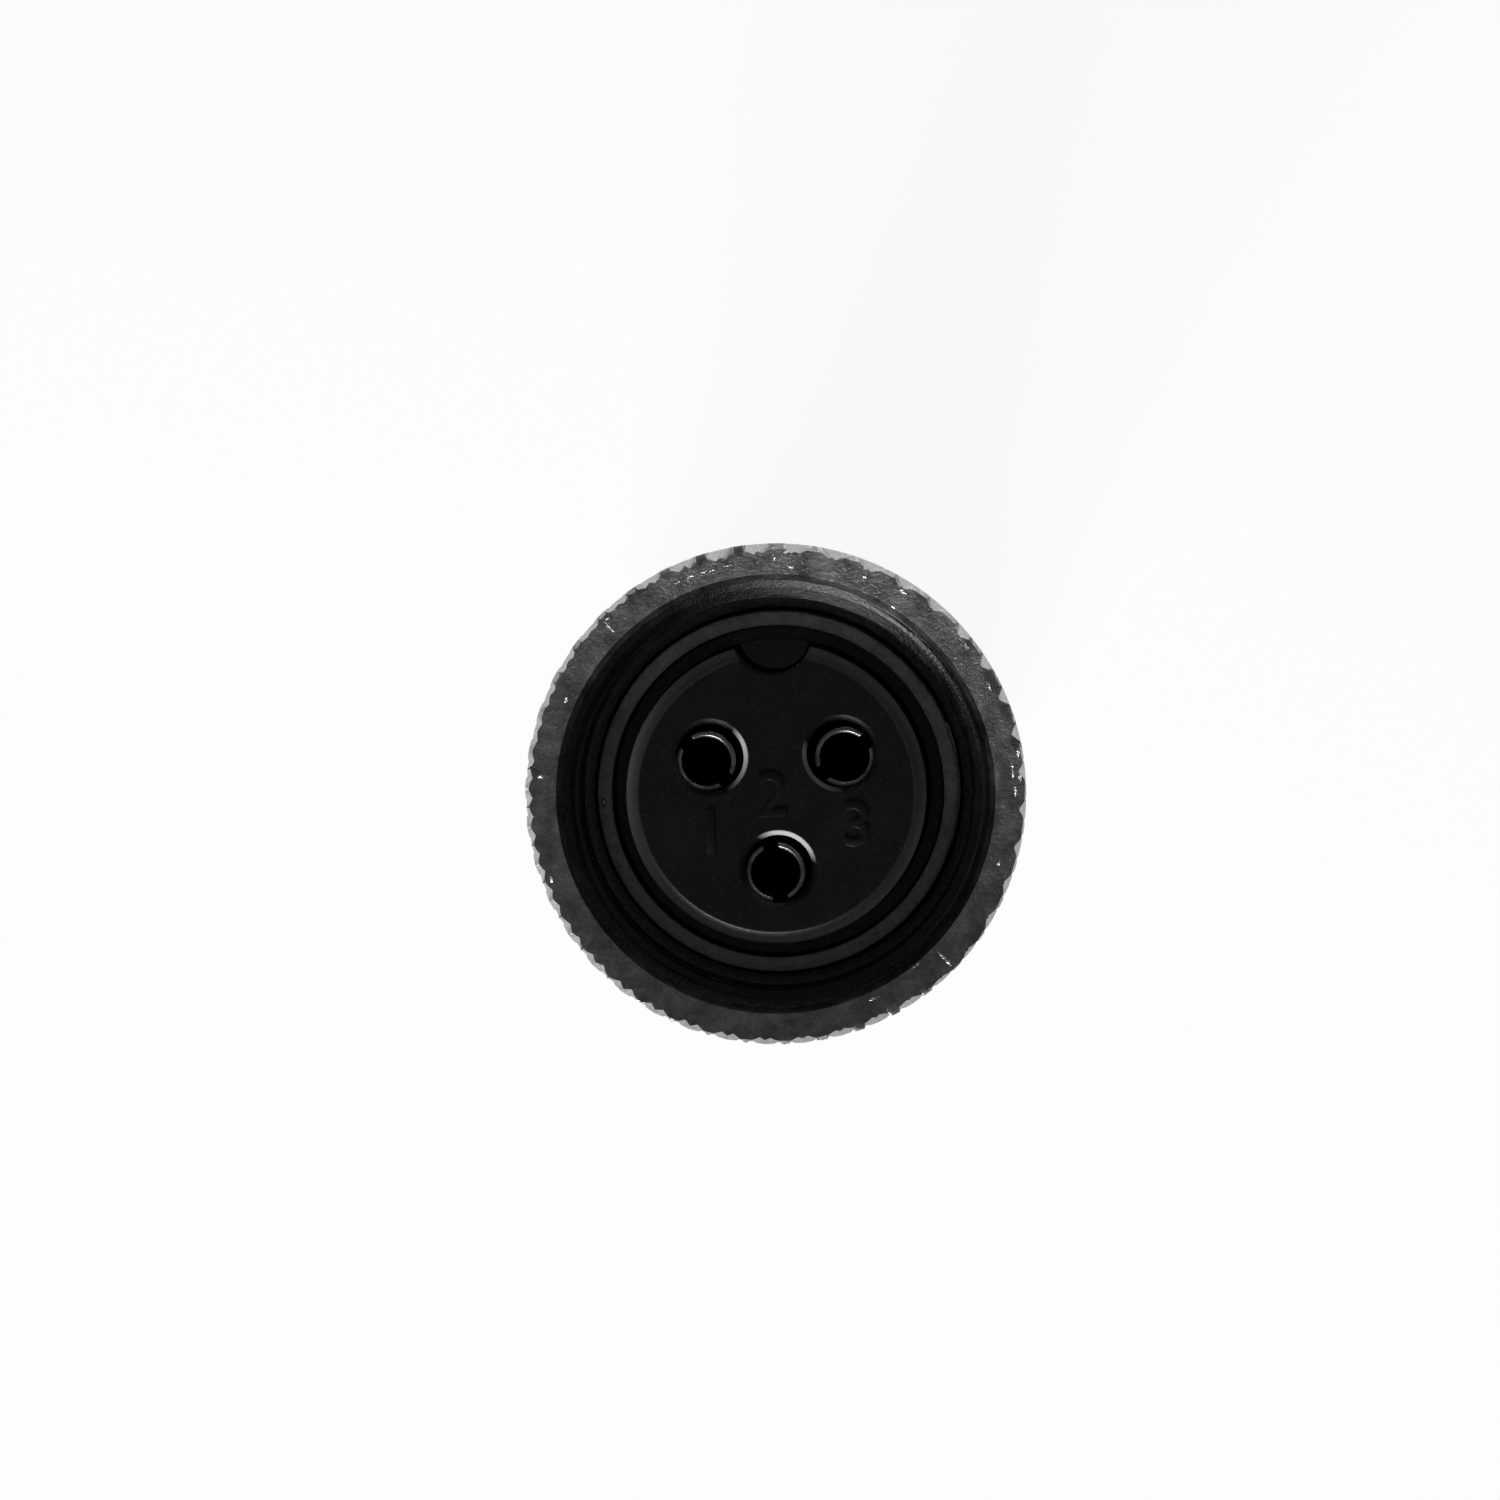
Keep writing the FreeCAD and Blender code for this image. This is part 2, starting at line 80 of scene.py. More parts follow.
NUT_LOW, NUT_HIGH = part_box("coupling_nut")
BARREL_LOW, BARREL_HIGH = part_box("barrel")
INSERT_LOW, INSERT_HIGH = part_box("contact_insert")
SHELL_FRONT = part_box("backshell")[1].z
EAR_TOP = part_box("clamp_strap")[1].z
CONTACT_LOW, CONTACT_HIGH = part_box("socket_contact_1")
RING_LOW, RING_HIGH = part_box("nut_retaining_ring")
INSERT_RING_LOW, INSERT_RING_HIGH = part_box("insert_retaining_ring")
LOCK_LOW, LOCK_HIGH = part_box("locking_screw")
SCREW_LOW, SCREW_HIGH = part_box("clamp_screw_right")
WASHER_LOW, WASHER_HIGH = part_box("clamp_washer_right")
SCREW_X = (SCREW_LOW.x + SCREW_HIGH.x) / 2
SCREW_Z = (SCREW_LOW.z + SCREW_HIGH.z) / 2
RING_MIDDLE = (RING_LOW.z + RING_HIGH.z) / 2
LOCK_MIDDLE = (LOCK_LOW.z + LOCK_HIGH.z) / 2


def length(name, description, default):
    """Property for a length in metres."""
    return bpy.props.FloatProperty(
        name=name, description=description, default=default, min=0.0, unit="LENGTH", precision=5
    )


def angle(name, description, degrees):
    """Property for an angle, given in degrees."""
    return bpy.props.FloatProperty(
        name=name, description=description, default=math.radians(degrees), unit="ROTATION"
    )


def number(name, description, default):
    """Property for a whole number."""
    return bpy.props.IntProperty(name=name, description=description, default=default, min=1)


def share(name, description, default):
    """Property for a share from nought to one."""
    return bpy.props.FloatProperty(
        name=name, description=description, default=default, min=0.0, max=1.0, subtype="FACTOR"
    )


def grey(name, description, default):
    """Property for a colour, given as one grey level."""
    return bpy.props.FloatVectorProperty(
        name=name, description=description, default=(default, default, default),
        min=0.0, max=1.0, subtype="COLOR",
    )


class NutSizes(bpy.types.PropertyGroup):
    """Sizes of the knurled coupling nut"""
    radius: length("Radius", "Outer radius over the knurl", NUT_HIGH.x)
    front: length("Front", "Height of the nut's face", NUT_HIGH.z)
    rear: length("Rear", "Height of the nut's rear end", NUT_LOW.z)
    teeth: number("Teeth", "Grooves in one hand of the knurl, the other hand has one more", 40)
    rows: number("Half rows", "Half rows of diamonds along the knurl", 7)
    knurl_depth: length("Knurl depth", "Depth of the knurl's grooves", 0.32 * MM)
    knurl_length: length("Knurl length", "Length of the knurled part", 8.4 * MM)
    knurl_phase: angle("Knurl phase", "Angle at which both hands meet in the face", 8.0)
    end_chamfer: length("End chamfer", "Chamfer on the diamonds at the knurl's ends", 0.1 * MM)
    face_dish: angle("Face dish", "Slope of the face towards the mouth", 8.5)
    mouth_radius: length("Mouth radius", "Radius of the mouth", 8.33 * MM)
    mouth_wall: length("Mouth wall", "Depth of the mouth's steep wall", 0.55 * MM)
    mouth_step: length("Mouth step", "Radius at which the steep wall ends", 8.13 * MM)
    minor_radius: length("Thread minor radius", "Radius at the thread's crests", 7.4585 * MM)
    major_radius: length("Thread major radius", "Radius at the thread's roots", 8.0 * MM)
    pitch: length("Pitch", "Pitch of the thread", 1.0 * MM)
    thread_phase: angle("Thread phase", "Angle at which the thread starts", 0.0)
    thread_bottom: length("Thread bottom", "Height at which the thread runs out", 30.03 * MM)
    relief_radius: length("Relief radius", "Radius of the thread's run-out", 8.0485 * MM)
    floor_top: length("Floor top", "Height of the floor at its outer edge", 29.53 * MM)
    floor_bottom: length("Floor bottom", "Height of the floor at the lip", 29.44 * MM)
    lip_radius: length("Lip radius", "Bore of the lip round the barrel", 7.03 * MM)
    groove_radius: length("Groove radius", "Radius of the groove for the wire ring", 7.43 * MM)
    groove_half: length("Groove half width", "Half the width of the groove for the wire ring", 0.5 * MM)
    band_radius: length("Band radius", "Radius of the plain rear band", 9.0 * MM)
    band_chamfer: length("Band chamfer", "Chamfer at the rear end of the band", 0.4 * MM)
    lip_chamfer: length("Lip chamfer", "Chamfer at the rear end of the lip", 0.25 * MM)


class BarrelSizes(bpy.types.PropertyGroup):
    """Sizes of the barrel behind the nut"""
    radius: length("Radius", "Outer radius of the barrel", 6.95 * MM)
    front: length("Front", "Height of the front rim", BARREL_HIGH.z)
    rear: length("Rear", "Height of the rear end", BARREL_LOW.z)
    nose_radius: length("Nose bore", "Radius of the bore round the insert's nose", 6.36 * MM)
    shoulder_radius: length("Shoulder bore", "Radius of the shoulder's bore", 5.86 * MM)
    shoulder_top: length("Shoulder top", "Height of the shoulder's upper side", 28.2 * MM)
    rear_radius: length("Rear bore", "Radius of the rear bore", 6.1 * MM)
    thread_radius: length("Thread radius", "Radius of the rear thread", 6.75 * MM)
    key_radius: length("Key radius", "Radius of the key that turns the insert", 1.4 * MM)
    groove: length("Groove", "Depth and half width of the groove for the wire ring", 0.425 * MM)
    ring_groove: length("Ring groove", "Depth of the groove behind the rear insulator", 0.3 * MM)
    rounding: length("Rounding", "Rounding of the rim's edges", 0.05 * MM)


class InsertSizes(bpy.types.PropertyGroup):
    """Sizes of the moulded insert with the three cavities"""
    front: length("Front", "Height of the insert's face", INSERT_HIGH.z)
    rear: length("Rear", "Height of the flange's rear side", INSERT_LOW.z)
    flange_radius: length("Flange radius", "Radius of the rear flange", INSERT_HIGH.x)
    flange_top: length("Flange top", "Height of the flange's upper side", 26.6 * MM)
    nose_radius: length("Nose radius", "Radius of the nose", 5.72 * MM)
    nose_bottom: length("Nose bottom", "Height at which the nose ends", 31.0 * MM)
    neck_radius: length("Neck radius", "Radius of the neck behind the nose", 5.4 * MM)
    bevel: length("Bevel", "Bevel round the face", 0.42 * MM)
    bevel_rounding: length("Bevel rounding", "Rounding of the bevel's edges", 0.16 * MM)
    keyway_radius: length("Keyway radius", "Radius of the half-round keyway", 1.56 * MM)
    keyway_offset: length("Keyway offset", "Distance of the keyway's centre from the axis", 6.1 * MM)
    cavity_radius: length("Cavity radius", "Radius of the contact cavities", 1.40025 * MM)
    cavity_circle: length("Cavity circle", "Distance of the cavities from the axis", 2.8714 * MM)
    counterbore: length("Counterbore", "Radius of the rear end of the cavities", 2.0 * MM)
    counterbore_top: length("Counterbore top", "Height at which the counterbore ends", 25.4 * MM)
    lip_radius: length("Lip radius", "Radius of the lip in the cavities' mouths", 1.29 * MM)
    lip_depth: length("Lip depth", "Depth of the lip's lower side", 0.55 * MM)
    mouth_depth: length("Mouth depth", "Depth of the cavities' flared mouths", 0.2 * MM)
    mouth_radius: length("Mouth radius", "Radius of the cavities' flared mouths", 1.49 * MM)
    keyway_chamfer: length("Keyway chamfer", "Chamfer along the keyway's edge", 0.07 * MM)
    figure_height: length("Figure height", "Height of the pole figures", 1.7 * MM)
    figure_relief: length("Figure relief", "Height by which the figures stand proud", 0.09 * MM)


class ContactSizes(bpy.types.PropertyGroup):
    """Sizes of the slotted socket contacts"""
    tip: length("Tip", "Height of the contacts' tips", CONTACT_HIGH.z)
    tail: length("Tail", "Height of the solder cups' ends", CONTACT_LOW.z)
    radius: length("Radius", "Outer radius of the socket", 1.17025 * MM)
    bore: length("Bore", "Radius of the socket's bore", 0.9303 * MM)
    bore_depth: length("Bore depth", "Depth of the socket's bore", 7.5 * MM)
    lead_in: length("Lead-in", "Chamfer at the mouth of the bore", 0.07 * MM)
    tip_rounding: length("Tip rounding", "Rounding of the tip's outer edge", 0.12 * MM)
    collar_radius: length("Collar radius", "Radius of the collar", 1.75 * MM)
    collar_bottom: length("Collar bottom", "Height of the collar's lower side", INSERT_LOW.z)
    collar_height: length("Collar height", "Thickness of the collar", 0.9 * MM)
    tail_radius: length("Tail radius", "Radius of the solder cup", 1.1 * MM)
    cup_radius: length("Cup bore", "Radius of the solder cup's bore", 0.8 * MM)
    cup_depth: length("Cup depth", "Depth of the solder cup", 3.2 * MM)
    cup_opening: length("Cup opening", "Length of the cup's open side", 2.0 * MM)
    slot_width: length("Slot width", "Width of the slot across the socket", 0.6 * MM)
    slot_depth: length("Slot depth", "Depth of the slot", 5.5 * MM)
    slot_1: angle("Slot 1", "Clockwise angle of the slot in contact 1", 135.0)
    slot_2: angle("Slot 2", "Clockwise angle of the slot in contact 2", 171.0)
    slot_3: angle("Slot 3", "Clockwise angle of the slot in contact 3", 56.0)


class ShellSizes(bpy.types.PropertyGroup):
    """Sizes of the backshell and of the cable clamp"""
    front: length("Front", "Height of the backshell's front", SHELL_FRONT)
    thread_radius: length("Thread radius", "Radius of the inner thread", 6.8 * MM)
    thread_bottom: length("Thread bottom", "Height at which the inner thread ends", 19.6 * MM)
    collar_radius: length("Collar radius", "Radius of the collar", 8.2 * MM)
    collar_bottom: length("Collar bottom", "Height of the collar's lower edge", 21.4 * MM)
    body_radius: length("Body radius", "Radius behind the collar", 7.1 * MM)
    body_top: length("Body top", "Height at which the body starts", 20.7 * MM)
    taper_top: length("Taper top", "Height at which the taper starts", 12.606 * MM)
    taper_bottom: length("Taper bottom", "Height at which the taper ends", 8.615 * MM)
    tail_radius: length("Tail radius", "Radius of the tail ring", 6.0 * MM)
    tail_bottom: length("Tail bottom", "Height of the tail ring's lower side", 8.415 * MM)
    cavity_radius: length("Cavity radius", "Radius of the space for the wires", 6.3 * MM)
    cavity_bottom: length("Cavity bottom", "Height at which the cavity's cone starts", 12.506 * MM)
    bore_radius: length("Cable bore", "Radius of the cable's bore", 3.1 * MM)
    bore_top: length("Cable bore top", "Height at which the cable's bore ends", 9.615 * MM)
    saddle_radius: length("Saddle radius", "Outer radius of the fixed half of the clamp", 4.6 * MM)
    saddle_ear: length("Saddle ear", "Thickness of the fixed ears", 1.9 * MM)
    strap_radius: length("Strap radius", "Outer radius of the strap", 3.95 * MM)
    strap_ear: length("Strap ear", "Thickness of the strap's ears", 1.0 * MM)
    half_gap: length("Half gap", "Half the gap between the clamp's halves", 0.3 * MM)
    ear_reach: length("Ear reach", "Half the width over the ears", 7.1 * MM)
    ear_top: length("Ear top", "Height of the ears", EAR_TOP)
    ear_corner: length("Ear corner", "Radius of the ears' upper corners", 0.9 * MM)
    screw_hole: length("Screw hole", "Radius of the threaded holes", 0.975 * MM)
    strap_hole: length("Strap hole", "Radius of the strap's holes", 1.1 * MM)
    lock_hole: length("Lock hole", "Radius of the locking screw's hole", 0.85 * MM)
    lock_edge: length("Lock edge", "Distance from the axis at which that hole opens out", 8.1 * MM)
    lock_foot: length("Lock foot", "Distance from the axis at which that hole starts", 6.2 * MM)


class ScrewSizes(bpy.types.PropertyGroup):
    """Sizes of the screws and washers"""
    shank_radius: length("Shank radius", "Radius of the clamp screws' thread", 0.95 * MM)
    head_radius: length("Head radius", "Radius of the pan heads", SCREW_HIGH.z / 2 - SCREW_LOW.z / 2)
    head_height: length("Head height", "Height of the pan heads", 1.3 * MM)
    head_round: length("Head rounding", "Rounding of the pan heads", 0.7 * MM)
    slot_width: length("Slot width", "Width of the clamp screws' slots", 0.4 * MM)
    slot_depth: length("Slot depth", "Depth of the clamp screws' slots", 0.6 * MM)
    pitch: length("Pitch", "Pitch of the clamp screws' thread", 0.4 * MM)
    thread_depth: length("Thread depth", "Depth of the clamp screws' thread", 0.18 * MM)
    washer_hole: length("Washer hole", "Radius of the washers' holes", 1.0 * MM)
    washer_gap: angle("Washer gap", "Opening of the split washers", 14.0)
    lock_slot_width: length("Lock slot width", "Width of the locking screw's slot", 0.3 * MM)
    lock_slot_depth: length("Lock slot depth", "Depth of the locking screw's slot", 0.4 * MM)


class FinishColours(bpy.types.PropertyGroup):
    """Colours and gloss of the finishes"""
    nut_light: grey("Nut, light", "Lighter grey of the nut's satin plate", 0.52)
    nut_dark: grey("Nut, dark", "Darker grey of the nut's satin plate", 0.28)
    nut_roughness: share("Nut roughness", "Roughness of the nut's satin plate", 0.30)
    # Painted shade: the nut's plate is painted darker towards one side, where less light falls
    nut_painted_shade: share("Nut painted shade", "How much darker the nut's tarnished side is", 0.3)
    # Painted shade: the slope in the mouth and the bore and thread are painted darker, in place of the shade
    # inside the nut
    mouth_painted_shade: share("Mouth painted shade", "How much darker the slope in the nut's mouth is", 0.90)
    bore_painted_shade: share("Bore painted shade", "How much darker the nut's bore and thread are", 0.95)
    barrel_light: grey("Barrel, light", "Lighter grey of the barrel's plate", 0.68)
    barrel_dark: grey("Barrel, dark", "Darker grey of the barrel's plate", 0.40)
    shell_light: grey("Shell, light", "Lighter grey of the backshell's plate", 0.62)
    shell_dark: grey("Shell, dark", "Darker grey of the backshell's plate", 0.52)
    contact_light: grey("Contact, light", "Bright silver of the contacts", 0.6)
    contact_dark: grey("Contact, dark", "Tarnished silver of the contacts", 0.2)
    screw_light: grey("Screw, light", "Bright plate of the screws", 0.7)
    screw_dark: grey("Screw, dark", "Dull plate of the screws", 0.52)
    spring: grey("Spring steel", "Grey of the rings and washers", 0.42)
    black: grey("Black moulding", "Black of the insert", 0.003)
    # The insert's bevel is partly a grey scuff and partly painted light, lighter towards the keyway side
    scuffed_and_lit: grey("Scuffed, lit edge", "Grey of the insert's scuffed edge", 0.09)
    # Painted highlight: the grey painted on one side of each cavity's mouth
    highlighted: grey("Mouth highlight", "Grey of the cavities' rubbed mouths", 0.4)
    sleeve: grey("Sleeve", "Milky white of the sleeve", 0.62)


class StageSettings(bpy.types.PropertyGroup):
    """Floor, lights and camera"""
    frame_pixels: number("Frame", "Side of the photograph's frame in pixels", 1500)
    pixels_per_mm: bpy.props.FloatProperty(
        name="Pixels per millimetre", description="Scale at the nut's face", default=26.41
    )
    centre_x: bpy.props.FloatProperty(
        name="Centre X", description="Pixel column of the nut's centre", default=775.5
    )
    centre_y: bpy.props.FloatProperty(
        name="Centre Y", description="Pixel row of the nut's centre", default=794.1
    )
    distance: length("Distance", "Distance of the camera from the nut's face", 0.35)
    tilt: angle("Tilt", "Lean of the camera towards the keyway", 0.9)
    side_tilt: angle("Side tilt", "Lean of the camera towards the third contact", 1.2)
    roll: angle("Roll", "Turn of the camera about its view", -1.8)
    floor_radius: length("Floor radius", "Radius of the floor", 2.5)
    floor_white: share("Floor white", "Share of plain white in the floor as it is seen", 0.92)
    surround: share("Surround", "Light from all round in reflections", 0.05)
    slant: share("Slanting light", "Light from the slanting sides of the studio", 0.35)


def deselect_all():
    """Leaves edit mode and deselects every object."""
    if bpy.context.object and bpy.context.object.mode != "OBJECT":
        bpy.ops.object.mode_set(mode="OBJECT")
    bpy.ops.object.select_all(action="DESELECT")


def activate(piece, *others):
    """Selects these objects only and makes the first one active."""
    deselect_all()
    for each in (piece, *others):
        each.select_set(True)
    bpy.context.view_layer.objects.active = piece


def start_editing(piece):
    """Opens a piece in edit mode with everything selected."""
    activate(piece)
    bpy.ops.object.mode_set(mode="EDIT")
    bpy.ops.mesh.select_mode(type="VERT")
    bpy.ops.mesh.select_all(action="SELECT")


def stop_editing():
    """Goes back to object mode."""
    bpy.ops.object.mode_set(mode="OBJECT")


def select_edges(piece, test):
    """In edit mode, selects the edges that pass a test."""
    bpy.ops.mesh.select_mode(type="EDGE")
    bpy.ops.mesh.select_all(action="DESELECT")
    mesh = bmesh.from_edit_mesh(piece.data)
    chosen = [edge for edge in mesh.edges if test(edge)]
    if not chosen:
        raise RuntimeError("%s has no edge of the kind looked for" % piece.name)
    for edge in chosen:
        edge.select_set(True)
    mesh.select_flush_mode()
    bmesh.update_edit_mesh(piece.data)


def apply_modifier(piece, modifier):
    """Applies one modifier of a piece."""
    activate(piece)
    bpy.ops.object.modifier_apply(modifier=modifier.name)


def cut(piece, height, above=False, below=False):
    """Cuts a piece level at a height, and takes away what lies above or below if asked to."""
    start_editing(piece)
    bpy.ops.mesh.bisect(
        plane_co=(0, 0, height), plane_no=(0, 0, 1), clear_outer=above, clear_inner=below,
        threshold=CUT_THRESHOLD,
    )
    stop_editing()


def close_up(piece):
    """Merges doubles and turns the faces outwards."""
    start_editing(piece)
    bpy.ops.mesh.remove_doubles(threshold=MERGE_DISTANCE)
    bpy.ops.mesh.normals_make_consistent(inside=False)
    stop_editing()


def clear_slivers(piece):
    """Merges doubles and joins faces without area to their neighbours."""
    close_up(piece)
    start_editing(piece)
    mesh = bmesh.from_edit_mesh(piece.data)
    slivers = [face for face in mesh.faces if face.calc_area() < NO_AREA]
    longest = {max(face.edges, key=lambda edge: edge.calc_length()).index for face in slivers}
    if longest:
        select_edges(piece, lambda edge: edge.index in longest)
        bpy.ops.mesh.dissolve_edges(use_verts=False)
    stop_editing()


def rounded_outline(corners, closed):
    """Points of an outline of (radius, height, rounding) corners, with an arc at each rounded one."""
    points = []
    count = len(corners)
    for index, (radius, height, rounding) in enumerate(corners):
        here = Vector((radius, height))
        if rounding == 0 or (not closed and index in (0, count - 1)):
            points.append(here)
            continue
        before = Vector(corners[index - 1][:2]) - here
        after = Vector(corners[(index + 1) % count][:2]) - here
        half = before.angle(after) / 2
        reach = min(rounding / math.tan(half), ARC_SHARE * before.length, ARC_SHARE * after.length)
        arc = reach * math.tan(half)
        before.normalize()
        after.normalize()
        middle = here + (before + after).normalized() * arc / math.sin(half)
        start = (here + before * reach - middle).normalized()
        end = (here + after * reach - middle).normalized()
        for step in range(ARC_STEPS + 1):
            points.append(middle + arc * start.slerp(end, step / ARC_STEPS))
    return points


def first_point(name, radius, height):
    """Piece of one vertex at a radius and height, open in edit mode."""
    deselect_all()
    bpy.ops.mesh.primitive_plane_add(size=MM, calc_uvs=False)
    piece = bpy.context.object
    piece.name = name
    start_editing(piece)
    bpy.ops.mesh.merge(type="CENTER")
    bpy.ops.transform.translate(value=(radius, 0, height))
    return piece


def extrude_point(outward, upward):
    """In edit mode, draws an outline on from its last vertex."""
    bpy.ops.mesh.extrude_region_move(TRANSFORM_OT_translate={"value": (outward, 0, upward)})


def turned(name, corners, steps=TURNED_STEPS, closed=True, turn=TURN):
    """Piece turned about Z: one vertex is extruded along the outline, which is then spun."""
    outline = rounded_outline(corners, closed)
    if closed:
        outline.append(outline[0])
    piece = first_point(name, *outline[0])
    for here, there in zip(outline, outline[1:]):
        extrude_point(*(there - here))
    bpy.ops.mesh.select_all(action="SELECT")
    bpy.ops.mesh.spin(steps=steps, angle=turn, center=(0, 0, 0), axis=(0, 0, 1))
    stop_editing()
    close_up(piece)
    return piece


def added(name):
    """Names the object that was just added and applies its place."""
    piece = bpy.context.object
    piece.name = name
    bpy.ops.object.transform_apply(location=True, rotation=True, scale=True)
    return piece


def block(name, low, high):
    """Box between two corners, as a cutter or a blank."""
    deselect_all()
    low, high = Vector(low), Vector(high)
    bpy.ops.mesh.primitive_cube_add(size=1, location=(low + high) / 2, scale=high - low, calc_uvs=False)
    return added(name)


def rod(name, radius, low, high, steps=TURNED_STEPS):
    """Upright round blank or cutter between two heights."""
    deselect_all()
    bpy.ops.mesh.primitive_cylinder_add(
        vertices=steps, radius=radius, depth=high - low, location=(0, 0, (low + high) / 2), calc_uvs=False
    )
    return added(name)


def copy_of(piece, name):
    """Copy with a mesh of its own."""
    deselect_all()
    twin = piece.copy()
    twin.data = piece.data.copy()
    twin.name = name
    bpy.context.scene.collection.objects.link(twin)
    return twin


def placed(piece, location=(0, 0, 0), rotation=(0, 0, 0)):
    """Moves a piece and applies its place to its mesh."""
    activate(piece)
    piece.location = location
    piece.rotation_euler = rotation
    bpy.ops.object.transform_apply(location=True, rotation=True, scale=True)
    return piece


def combine(piece, other, operation):
    """Boolean of a piece with another, which is used up."""
    modifier = piece.modifiers.new("Combine", "BOOLEAN")
    modifier.operation = operation
    modifier.solver = "EXACT"
    modifier.object = other
    apply_modifier(piece, modifier)
    bpy.data.objects.remove(other)
    return piece


def soften(piece, width, segments=2, limit=35.0):
    """Rounds the sharp edges of a piece."""
    modifier = piece.modifiers.new("Soften", "BEVEL")
    modifier.width = width
    modifier.segments = segments
    modifier.limit_method = "ANGLE"
    modifier.angle_limit = math.radians(limit)
    modifier.miter_outer = "MITER_ARC"
    apply_modifier(piece, modifier)
    return piece


def joined(piece, *others):
    """Joins other objects into a piece."""
    activate(piece, *others)
    bpy.ops.object.join()
    return piece


def shade(piece, limit=32.0):
    """Smooth shading that keeps sharp edges and flat faces."""
    activate(piece)
    bpy.ops.object.shade_smooth_by_angle(angle=math.radians(limit))
    modifier = piece.modifiers.new("Flat faces", "WEIGHTED_NORMAL")
    modifier.keep_sharp = True
    apply_modifier(piece, modifier)


def finish_piece(piece, material, node, body=PLUG_BODY):
    """Last steps that all pieces share: finish, body, material slot and the node it stands for."""
    piece.data.materials.clear()
    piece.data.materials.append(bpy.data.materials[material])
    piece.data.name = piece.name
    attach(piece, body)
    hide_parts(node)


def clock_point(turn, radius):
    """Point at a clockwise angle from the keyway."""
    return radius * math.sin(turn), radius * math.cos(turn)


def polar_radius(point):
    """Distance of a point from the plug's axis."""
    return math.hypot(point[0], point[1])


def face_height(sizes, radius):
    """Height of the nut's slightly dished face at a radius."""
    rim = sizes.radius - sizes.end_chamfer
    return sizes.front - max(0.0, rim - radius) * math.tan(sizes.face_dish)


def mouth_radius_at(sizes, height):
    """Radius of the mouth at a height: a steep wall, then a slope down into the thread."""
    depth = face_height(sizes, sizes.mouth_radius) - height
    if depth < sizes.mouth_wall:
        return sizes.mouth_radius - (sizes.mouth_radius - sizes.mouth_step) * depth / sizes.mouth_wall
    return sizes.mouth_step - (depth - sizes.mouth_wall)


KNURL_GROOVE_EDGE = 0.05
KNURL_FLANK = 0.27
KNURL_LAND_EDGE = 0.06
KNURL_RISES = (0.13, 0.78, 0.09)
CHAMFER_REACH = 0.18 * MM
# Clockwise angle from the keyway, and the radii in mm that valleys and teeth have in the worn rim
RIM_WEAR = (
    (0, 9.13, 9.27), (30, 9.16, 9.33), (60, 9.18, 9.37), (90, 9.25, 9.44), (120, 9.27, 9.41),
    (135, 9.40, 9.46), (152, 9.22, 9.31), (180, 9.24, 9.36), (210, 9.22, 9.38), (240, 9.20, 9.33),
    (270, 9.22, 9.35), (300, 9.24, 9.31), (318, 9.29, 9.35), (335, 9.19, 9.33), (350, 9.08, 9.25),
    (360, 9.13, 9.27),
)
# How far the rim's raggedness reaches and how long its waves are, both in mm
RIM_RAGS = ((0.02, 0.35), (0.012, 0.12))
TOOTH_WIDENING = 1.3


def worn_radius(sizes, point, radius):
    """Radius of the worn rim where the knurl had a given radius."""
    clock = math.degrees(math.atan2(point.x, point.y)) % 360
    for before, after in zip(RIM_WEAR, RIM_WEAR[1:]):
        if clock <= after[0]:
            break
    low, high = Vector(before[1:]).lerp(after[1:], (clock - before[0]) / (after[0] - before[0]))
    rise = 1 - (sizes.radius - radius) / sizes.knurl_depth
    ragged = sum(reach * noise.noise(point / (wave * MM)) for reach, wave in RIM_RAGS)
    return (low + (high - low) * min(1.0, rise * TOOTH_WIDENING) + ragged) * MM


def knurl_tile(sizes, half_column, half_row, columns):
    """One diamond of the knurl: a square inset and raised step by step, then laid on the nut."""
    deselect_all()
    bpy.ops.mesh.primitive_plane_add(size=1, calc_uvs=False)
    tile = bpy.context.object
    tile.name = "knurled_nut"
    start_editing(tile)
    bpy.ops.mesh.select_mode(type="FACE")
    for inset, rise in zip((KNURL_GROOVE_EDGE, KNURL_FLANK, KNURL_LAND_EDGE), KNURL_RISES):
        bpy.ops.mesh.inset(thickness=inset, depth=rise, use_even_offset=False)
    bpy.ops.mesh.select_all(action="SELECT")
    bpy.ops.mesh.subdivide(number_cuts=1)
    stop_editing()
    for vertex in tile.data.vertices:
        along, across, rise = vertex.co
        turn = (along + across) * half_column
        height = (along - across) * half_row - (along + across) * half_row / columns
        radius = sizes.radius - sizes.knurl_depth * (1 - rise)
        vertex.co = (radius * math.cos(turn), radius * math.sin(turn), height)
    return tile


